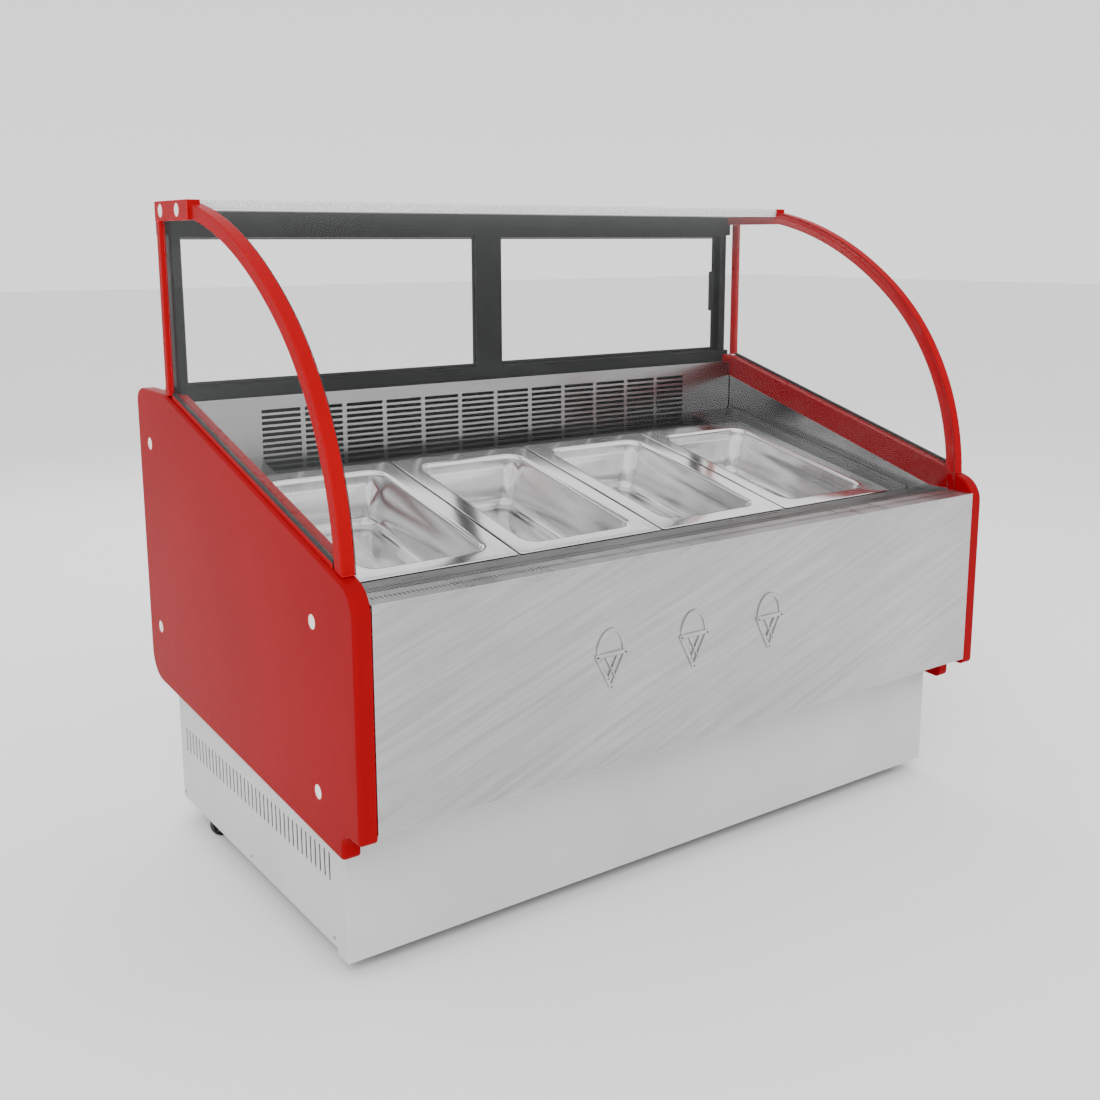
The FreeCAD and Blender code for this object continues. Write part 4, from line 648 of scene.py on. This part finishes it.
def glazing_lips():
    """A low painted lip along the outside of each side glass's gasket."""
    low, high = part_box("glass_gaskets")
    for side, edge in (("left", low.x), ("right", high.x)):
        out = -1.0 if side == "left" else 1.0
        near = edge + out * LIP_GAP
        far = near + out * LIP_THICK
        ends = ((low.y + 1 * MM, low.z + 0.3 * MM), (high.y - 1 * MM, high.z - GASKET_TALL))
        points = [Vector((x, y, z + rise)) for y, z in ends for rise in (0.0, LIP_TALL) for x in (near, far)]
        faces = [(0, 1, 3, 2), (4, 6, 7, 5), (0, 4, 5, 1), (2, 3, 7, 6), (0, 2, 6, 4), (1, 5, 7, 3)]
        slot = SLOT_OF["glass_sill_" + side]
        piece("glazing_lip_" + side, points, faces, "cabinet", slot, look="red_gloss")


def duct_shade_blocks():
    """Dark blocks of painted shade behind the slots, so that the ducts read as deep."""
    low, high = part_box("air_return_grille")
    under = 2.6 * MM
    outline = [(low.y + 3 * MM, high.z - 0.4 * MM - under), (high.y - 3 * MM, low.z + 1.6 * MM - under),
               (high.y - 3 * MM, low.z + 0.8 * MM - under), (low.y + 3 * MM, high.z - 1.2 * MM - under)]
    shade_block = prism_x(low.x + 6 * MM, high.x - 6 * MM, outline)
    piece("strip_duct_painted_shade", *shade_block, "cabinet", "black_rubber", look="duct_shade")
    low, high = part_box("rear_wall_grille")
    # painted shade behind the rear grille's slots
    shade_block = block((low.x * 0.8, low.y + 4 * MM, low.z + 5 * MM),
                (high.x * 0.8, low.y + 5.5 * MM, high.z - 12 * MM))
    piece("grille_painted_shade", *shade_block, "cabinet", "black_rubber", look="duct_shade")


def cone_motif(middle_x, middle_z, face_y, height):
    """A plain ice cream cone in low relief: a wafer with two ribs, and one ball on it."""
    width = height * 0.3
    rise = 3.4 * MM
    parts = []

    def bar(start, end, thick):
        along = (end - start).normalized()
        across = Vector((-along.z, 0, along.x)) * thick / 2
        shrink = across * 0.35
        loops = []
        for lift, pull in ((0.0, 0.0), (0.7, 0.0), (1.0, 1.0)):
            out = Vector((0, -rise * lift, 0))
            loops.append([start + out - across + shrink * pull, end + out - across + shrink * pull,
                          end + out + across - shrink * pull, start + out + across - shrink * pull])
        parts.append(stacked(loops))

    def at(u, v):
        return Vector((middle_x + u * width, face_y, middle_z + v * height))

    tip = at(0, -0.5)
    bar(at(-1, 0.08), tip, 7 * MM)
    bar(at(1, 0.08), tip, 7 * MM)
    bar(at(-1.08, 0.08), at(1.08, 0.08), 8 * MM)
    bar(at(-0.45, 0.06), at(0.28, -0.34), 3 * MM)
    bar(at(0.45, 0.06), at(-0.28, -0.34), 3 * MM)
    count = 18
    arc = [at(0.9 * math.cos(math.pi * step / count), 0.13 + 0.36 * math.sin(math.pi * step / count))
           for step in range(count + 1)]
    for start, end in zip(arc, arc[1:]):
        bar(start, end, 7 * MM)
    return merged(parts)


def front_motif():
    low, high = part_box("front_panel")
    height = 0.105
    middle_z = (low.z + high.z) / 2 + 0.012
    span = 0.19
    parts = [cone_motif(-0.074 + step * span, middle_z, low.y + 0.2 * MM, height) for step in (-1, 0, 1)]
    piece("front_cone_relief", *merged(parts), "cabinet", "brushed_steel")


def deck_trim():
    """A bright angle where each end of the deck meets the side of the case."""
    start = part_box("air_return_grille")[1].y + 2 * MM
    deck_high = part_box("deck_frame")[1]
    end = deck_high.y - 3 * MM
    slope = math.tan(DECK_TILT)
    parts = []
    for sign in (-1, 1):
        wall = sign * (deck_high.x - 0.3 * MM)
        loops = []
        for y in (start, end):
            z = deck_high.z + (y - deck_high.y) * slope + 0.3 * MM
            loops.append([Vector((wall - sign * out * MM, y, z + up * MM))
                          for out, up in ((0, 0), (9, 0), (9, 1.2), (1.5, 1.6), (1.5, 9), (0, 9))])
        parts.append(stacked(loops))
    piece("deck_end_angles", *merged(parts), "cabinet", "polished_steel")


DECK_TILT = math.atan2(-DECK_NORMAL[1], DECK_NORMAL[2])
front_trim()
front_motif()
deck_trim()
duct_shade_blocks()
slot_shade_plugs()
glazing_lips()


# ---------------------------------------------------------------- glass seals and arch trim

def outer_curve(node, x_side, keep_outer=True):
    """The outer (or inner) edge of a curved node's end face, as (y, z) from foot to crown."""
    low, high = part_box(node)
    face = high.x if x_side > 0 else low.x
    hub = Vector((0, high.y, low.z))
    bands = {}
    for vertex in NODES[node].data.vertices:
        if abs(vertex.co.x - face) > 2e-4:
            continue
        offset = Vector((0, hub.y - vertex.co.y, vertex.co.z - hub.z))
        angle = math.atan2(offset.z, offset.y)
        key = round(angle * 60)
        best = bands.get(key)
        if best is None or (offset.length > best[0]) == keep_outer:
            bands[key] = (offset.length, angle, vertex.co.y, vertex.co.z)
    ordered = sorted(bands.values(), key=lambda row: row[1])
    return [(row[2], row[3]) for row in ordered]


def ribbon(curve, x_low, x_high, inward, outward):
    """A thin strip that follows a curve, between two distances from it."""
    loops = []
    for index, (y, z) in enumerate(curve):
        before = curve[max(index - 1, 0)]
        after = curve[min(index + 1, len(curve) - 1)]
        along = Vector((0, after[0] - before[0], after[1] - before[1])).normalized()
        out = Vector((0, -along.z, along.y))
        if out.y > 0:
            out.negate()
        base = Vector((0, y, z))
        loops.append([base + out * distance + Vector((x, 0, 0))
                      for x, distance in ((x_low, inward), (x_high, inward),
                                          (x_high, outward), (x_low, outward))])
    return stacked(loops)


def arch_trim():
    """Thin seal lines where the curved glass meets each tube."""
    seals = []
    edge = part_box("front_glass")[1].x
    for sign in (-1, 1):
        curve = outer_curve("front_glass", sign)
        low, high = sorted((sign * (edge - 0.4 * MM), sign * (edge + 0.7 * MM)))
        seals.append(ribbon(curve, low, high, -0.2 * MM, 0.5 * MM))
    piece("curved_glass_seals", *merged(seals), "cabinet", "black_rubber")


arch_trim()


# ---------------------------------------------------------------- top shelf and door trim

def shelf_trim():
    low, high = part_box("top_shelf")
    z = low.z
    outline = [(low.y - 0.8 * MM, z + 0.5 * MM), (low.y - 2.2 * MM, z + 1.2 * MM),
               (low.y - 2.2 * MM, high.z - 4 * MM),
               (low.y + 0.5 * MM, high.z - 1.5 * MM), (low.y + 0.5 * MM, z + 0.5 * MM)]
    piece("shelf_nose", *prism_x(low.x + 1 * MM, high.x - 1 * MM, outline), "cabinet", "shelf_board")
    strip = [(low.y - 2.6 * MM, z - 1.6 * MM), (low.y + 9 * MM, z - 1.6 * MM), (low.y + 9 * MM, z + 0.4 * MM),
             (low.y - 2.6 * MM, z + 0.4 * MM)]
    piece("shelf_light_line", *prism_x(low.x + 1 * MM, high.x - 1 * MM, strip), "cabinet", "white_plastic")


def door_trim():
    """Thin glazing beads around each sash's pane, on its front and on its back."""
    for side in ("left", "right"):
        low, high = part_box("door_glass_" + side)
        face = low.y - 1.2 * MM
        bead = 3.0 * MM
        spans = [
            ((low.x, face, low.z), (high.x, low.y, low.z + bead)),
            ((low.x, face, high.z - bead), (high.x, low.y, high.z)),
            ((low.x, face, low.z + bead), (low.x + bead, low.y, high.z - bead)),
            ((high.x - bead, face, low.z + bead), (high.x, low.y, high.z - bead)),
        ]
        for offset in (0.0, (high.y - low.y) + 1.2 * MM):
            shifted = [(tuple(Vector(a) + Vector((0, offset, 0))), tuple(Vector(b) + Vector((0, offset, 0))))
                       for a, b in spans]
            name = "glazing_bead_%s_%s" % (side, "front" if not offset else "back")
            piece(name, *merged([block(a, b) for a, b in shifted]), "door_" + side, "black_rubber")


shelf_trim()
door_trim()


# ---------------------------------------------------------------- castor wheels

WHEEL_PROFILE = [
    (4.2, -9.0), (9.0, -9.0), (10.5, -8.4), (12.0, -6.2), (17.5, -6.2), (19.0, -7.6), (20.5, -8.8),
    (22.8, -8.2), (24.3, -6.0), (25.0, -3.0), (25.0, 3.0), (24.3, 6.0), (22.8, 8.2), (20.5, 8.8),
    (19.0, 7.6), (17.5, 6.2), (12.0, 6.2), (10.5, 8.4), (9.0, 9.0), (4.2, 9.0),
]


def make_wheels():
    joints = {row["name"]: row for row in RECORD["behaviour"]["joints"]}
    for spot in ("front_left", "front_right", "rear_left", "rear_right"):
        node = "castor_wheel_" + spot
        middle = centre_of(node)
        axis = Vector(joints["wheel_%s_roll" % spot]["axis"])
        profile = [(radius * MM, height * MM) for radius, height in WHEEL_PROFILE]
        tyre = turned(middle, axis, profile, 48)
        made = piece("tyre_" + spot, *tyre, "wheel_" + spot, "black_rubber", 30.0)
        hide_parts(node)
        ribs = []
        side = axis.orthogonal().normalized()
        other = axis.cross(side)
        for step in range(6):
            turn = math.radians(60 * step)
            out = side * math.cos(turn) + other * math.sin(turn)
            across = axis.cross(out)
            loops = [[middle + out * (r * MM) + across * (s * 1.2 * MM) + axis * (h * MM)
                      for s, h in ((-1, -7.4), (1, -7.4), (1, 7.4), (-1, 7.4))] for r in (11.0, 18.5)]
            ribs.append(stacked(loops))
        piece("wheel_ribs_" + spot, *merged(ribs), "wheel_" + spot, "grey_plastic")
        nuts = []
        for out in (-1, 1):
            start = middle + axis * (out * 12.0 * MM)
            nuts.append(turned(start, axis * out, [
                (6.5 * MM, 0), (6.5 * MM, 1.0 * MM), (5.6 * MM, 1.4 * MM),
                (5.4 * MM, 3.6 * MM), (4.6 * MM, 4.2 * MM), (0, 4.2 * MM)], 6))
        piece("axle_nuts_" + spot, *merged(nuts), "castor_" + spot, "galvanised")


make_wheels()


# ---------------------------------------------------------------- fans

def make_fan(node, body, radius, hub, depth):
    """A moulded rotor: dished hub and five cambered, swept blades."""
    middle = centre_of(node)
    spin = RECORD_POS[{"condenser_fan": "condenser_fan_spin", "evaporator_fan": "evaporator_fan_spin"}[node]]
    centre = Vector((spin[0], middle.y, spin[2]))
    parts = [turned(centre - Vector((0, depth / 2, 0)), (0, 1, 0), [
        (3.2 * MM, 0), (hub * 0.8, 0), (hub * 0.95, 1 * MM), (hub, 3 * MM), (hub, depth), (hub * 0.9, depth),
        (hub * 0.88, depth * 0.4), (3.2 * MM, depth * 0.4)], 36)]
    for index in range(5):
        loops = []
        steps = 8
        for step in range(steps + 1):
            part = step / steps
            reach = hub * 0.96 + (radius - hub * 0.96) * part
            sweep = math.radians(72 * index + 14 * part)
            chord = math.radians(24 + 20 * math.sin(math.pi * (0.2 + 0.6 * part)))
            loop = []
            for across, side in ((-1, -1), (-0.5, -1), (0, -1), (0.5, -1), (1, -1),
                                 (1, 1), (0.5, 1), (0, 1), (-0.5, 1), (-1, 1)):
                turn = sweep + across * chord / 2
                lift = depth * 0.36 * across + depth * 0.08 * (1 - across * across) + side * 0.6 * MM
                loop.append(centre + Vector((math.cos(turn) * reach, lift, math.sin(turn) * reach)))
            loops.append(loop)
        parts.append(stacked(loops))
    made = piece(node + "_rotor", *merged(parts), body, "black_trim", 50.0)
    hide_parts(node)


RECORD_POS = {row["name"]: row.get("pos_m") for row in RECORD["behaviour"]["joints"]}
make_fan("condenser_fan", "condenser_fan_body", 83 * MM, 20 * MM, 23 * MM)
make_fan("evaporator_fan", "evaporator_fan_body", 61 * MM, 16 * MM, 19 * MM)


# ---------------------------------------------------------------- knob dial

def make_knob():
    low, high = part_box("thermostat_knob")
    centre = Vector(((low.x + high.x) / 2, low.y, (low.z + high.z) / 2))
    radius = (high.x - low.x) / 2
    deep = high.y - low.y
    loops = []
    for scale, height in ((0.98, 0.0), (1.0, 0.03), (1.0, 0.34), (0.95, 0.42), (0.9, 0.44),
                          (0.55, 0.46), (0.5, 0.46)):
        loop = []
        for step in range(72):
            turn = 2 * math.pi * step / 72
            flute = 1.0 - (0.03 if step % 4 < 2 and 0.02 < height < 0.4 else 0.0)
            loop.append(centre + Vector((math.cos(turn) * radius * scale * flute, deep * height,
                                         math.sin(turn) * radius * scale * flute)))
        loops.append(loop)
    grip = []
    for inset, height in ((0.0, 0.4), (0.0, 0.9), (0.06, 0.98), (0.14, 1.0)):
        half_x = radius * (0.2 - inset * 0.5)
        half_z = radius * (0.88 - inset * 0.4)
        grip.append([centre + Vector((x * half_x, deep * height, z * half_z))
                     for x, z in ((-1, -1), (1, -1), (1, 1), (-1, 1))])
    made = piece("fluted_knob", *merged([stacked(loops), stacked(grip)]), "knob", "black_trim")
    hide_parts("thermostat_knob")
    line = block((centre.x - 0.6 * MM, high.y - 0.3 * MM, centre.z + radius * 0.25),
                 (centre.x + 0.6 * MM, high.y + 0.15 * MM, centre.z + radius * 0.75))
    piece("knob_pointer", *line, "knob", "white_plastic")
    ticks = []
    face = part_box("control_box")[0].y + 35.7 * MM
    for step in range(10):
        turn = math.radians(225 - 30 * step)
        out = Vector((math.cos(turn), 0, math.sin(turn)))
        across = Vector((-out.z, 0, out.x)) * 0.5 * MM
        loops = [[centre + out * (reach * MM) + across * s + Vector((0, face - centre.y + lift, 0))
                  for s, lift in ((-1, -0.2 * MM), (1, -0.2 * MM), (1, 0.25 * MM), (-1, 0.25 * MM))]
                 for reach in (21.5, 24.5 if step % 3 else 26.5)]
        ticks.append(stacked(loops))
    piece("dial_ticks", *merged(ticks), "cabinet", "white_plastic")


make_knob()


# ---------------------------------------------------------------- compressor and pipes

def make_compressor():
    low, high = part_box("compressor")
    x = (low.x + high.x) / 2
    y = low.y + 65 * MM
    bottom = low.z + 14 * MM
    top = high.z
    tall = top - bottom
    shell = turned(Vector((x, y, bottom)), (0, 0, 1), [
        (0, 0), (0.05, 0.001), (0.068, 0.008), (0.0765, 0.022), (0.0775, tall * 0.46), (0.0815, tall * 0.465),
        (0.0815, tall * 0.50), (0.0775, tall * 0.505), (0.077, tall - 0.03), (0.071, tall - 0.014),
        (0.055, tall - 0.004), (0.02, tall), (0, tall)], 56)
    piece_made = piece("compressor_shell", *shell, "cabinet", "dark_steel")
    foot = block((low.x, y - 65 * MM, low.z + 12 * MM), (high.x, y + 65 * MM, low.z + 15 * MM))
    cover = block((x - 25 * MM, y + 70 * MM, low.z + 60 * MM), (x + 25 * MM, high.y, low.z + 120 * MM))
    piece("compressor_foot", *foot, "cabinet", "dark_steel", bevel=0.002)
    piece("terminal_cover", *cover, "cabinet", "grey_plastic", bevel=0.004)
    feet = []
    bolts = []
    for dx in (-80 * MM, 80 * MM):
        for dy in (-50 * MM, 50 * MM):
            spot = Vector((x + dx, y + dy, low.z))
            feet.append(turned(spot, (0, 0, 1), [
                (11 * MM, 0), (11 * MM, 4 * MM), (8.5 * MM, 6 * MM),
                (8.5 * MM, 8 * MM), (10.5 * MM, 10 * MM), (10.5 * MM, 12 * MM)], 24))
            bolts.append(turned(spot + Vector((0, 0, 15 * MM)), (0, 0, 1), [
                (7 * MM, 0), (7 * MM, 1 * MM), (5.4 * MM, 1 * MM), (5.4 * MM, 5 * MM), (0, 5.4 * MM)], 6))
    piece("compressor_grommets", *merged(feet), "cabinet", "black_rubber")
    piece("compressor_bolts", *merged(bolts), "cabinet", "galvanised")
    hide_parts("compressor")


def make_pipes():
    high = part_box("refrigerant_pipes")[1]
    coil_low, coil_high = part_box("condenser_coil")
    pot_low, pot_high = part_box("compressor")
    x = (pot_low.x + pot_high.x) / 2
    y = pot_low.y + 65 * MM
    z = 190 * MM
    mid_y = (coil_low.y + coil_high.y) / 2
    discharge = [Vector(spot) for spot in (
        (x + 78 * MM, y, z), (x + 120 * MM, y, z), (x + 120 * MM, high.y - 4.2 * MM, z),
        (20 * MM - 4 * MM, high.y - 4.2 * MM, z), (16 * MM, mid_y, z), (coil_low.x + 6 * MM, mid_y, z))]
    suction = [Vector(spot) for spot in (
        (x - 78 * MM, y, 170 * MM), (x - 116 * MM, y, 170 * MM), (x - 116 * MM, y, high.z - 0.5 * MM))]
    parts = [tube(with_bends(route, 16 * MM), 4 * MM) for route in (discharge, suction)]
    collar = [(4.1 * MM, 0), (5.2 * MM, 1 * MM), (5.2 * MM, 9 * MM), (4.1 * MM, 11 * MM)]
    joints = [turned(route[0], (route[1] - route[0]), collar, 20) for route in (discharge, suction)]
    made = piece("bent_pipes", *merged(parts + joints), "cabinet", "copper_pipe", 60.0)
    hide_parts("refrigerant_pipes")


make_compressor()
make_pipes()


# ---------------------------------------------------------------- studio

def studio():
    mesh = bpy.data.meshes.new("floor")
    reach = 30.0
    mesh.from_pydata([(-reach, -reach, 0), (reach, -reach, 0), (reach, reach, 0), (-reach, reach, 0)],
                     [], [(0, 1, 2, 3)])
    floor = bpy.data.objects.new("floor", mesh)
    bpy.context.scene.collection.objects.link(floor)
    look = Look("studio_floor", Roughness=0.9)
    look.set("Base Color", look.blend(look.noise(2.0), rgb(0.9, 0.9, 0.9), rgb(0.93, 0.93, 0.93)))
    mesh.materials.append(look.material)

    world = bpy.data.worlds.new("studio_world")
    bpy.context.scene.world = world
    world.use_nodes = True
    tree = world.node_tree
    coordinates = tree.nodes.new("ShaderNodeTexCoord")
    split = tree.nodes.new("ShaderNodeSeparateXYZ")
    ramp = tree.nodes.new("ShaderNodeValToRGB")
    tree.links.new(coordinates.outputs["Generated"], split.inputs[0])
    tree.links.new(split.outputs["Z"], ramp.inputs["Fac"])
    stops = ramp.color_ramp.elements
    stops[0].position = 0.0
    stops[0].color = rgb(0.98, 0.98, 0.98)
    stops[1].position = 0.35
    stops[1].color = rgb(0.8, 0.8, 0.8)
    last = stops.new(1.0)
    last.color = rgb(0.95, 0.95, 0.95)
    tree.links.new(ramp.outputs["Color"], tree.nodes["Background"].inputs["Color"])
    tree.nodes["Background"].inputs["Strength"].default_value = 1.55

    for name, place, size, power in (
            ("key_light", (-3.4, -3.6, 3.6), 2.6, 190.0),
            ("fill_light", (3.6, -2.6, 2.2), 2.2, 35.0),
            ("rear_light", (0.6, 3.4, 3.0), 2.4, 70.0)):
        lamp = bpy.data.lights.new(name, "AREA")
        lamp.size = size
        lamp.energy = power
        holder = bpy.data.objects.new(name, lamp)
        holder.location = place
        holder.visible_glossy = False
        aim = Vector((0, 0, 0.6)) - Vector(place)
        holder.rotation_euler = aim.to_track_quat("-Z", "Y").to_euler()
        bpy.context.scene.collection.objects.link(holder)


def camera():
    lens = bpy.data.cameras.new("photo_angle")
    lens.lens = 41.5
    lens.sensor_width = 36.0
    lens.shift_x = -0.0065
    lens.shift_y = -0.0677
    holder = bpy.data.objects.new("photo_angle", lens)
    holder.location = (-1.5579, -2.1206, 1.2025)
    holder.rotation_euler = (math.radians(79.452), math.radians(0.10), math.radians(-35.728))
    bpy.context.scene.collection.objects.link(holder)
    bpy.context.scene.camera = holder


studio()
camera()
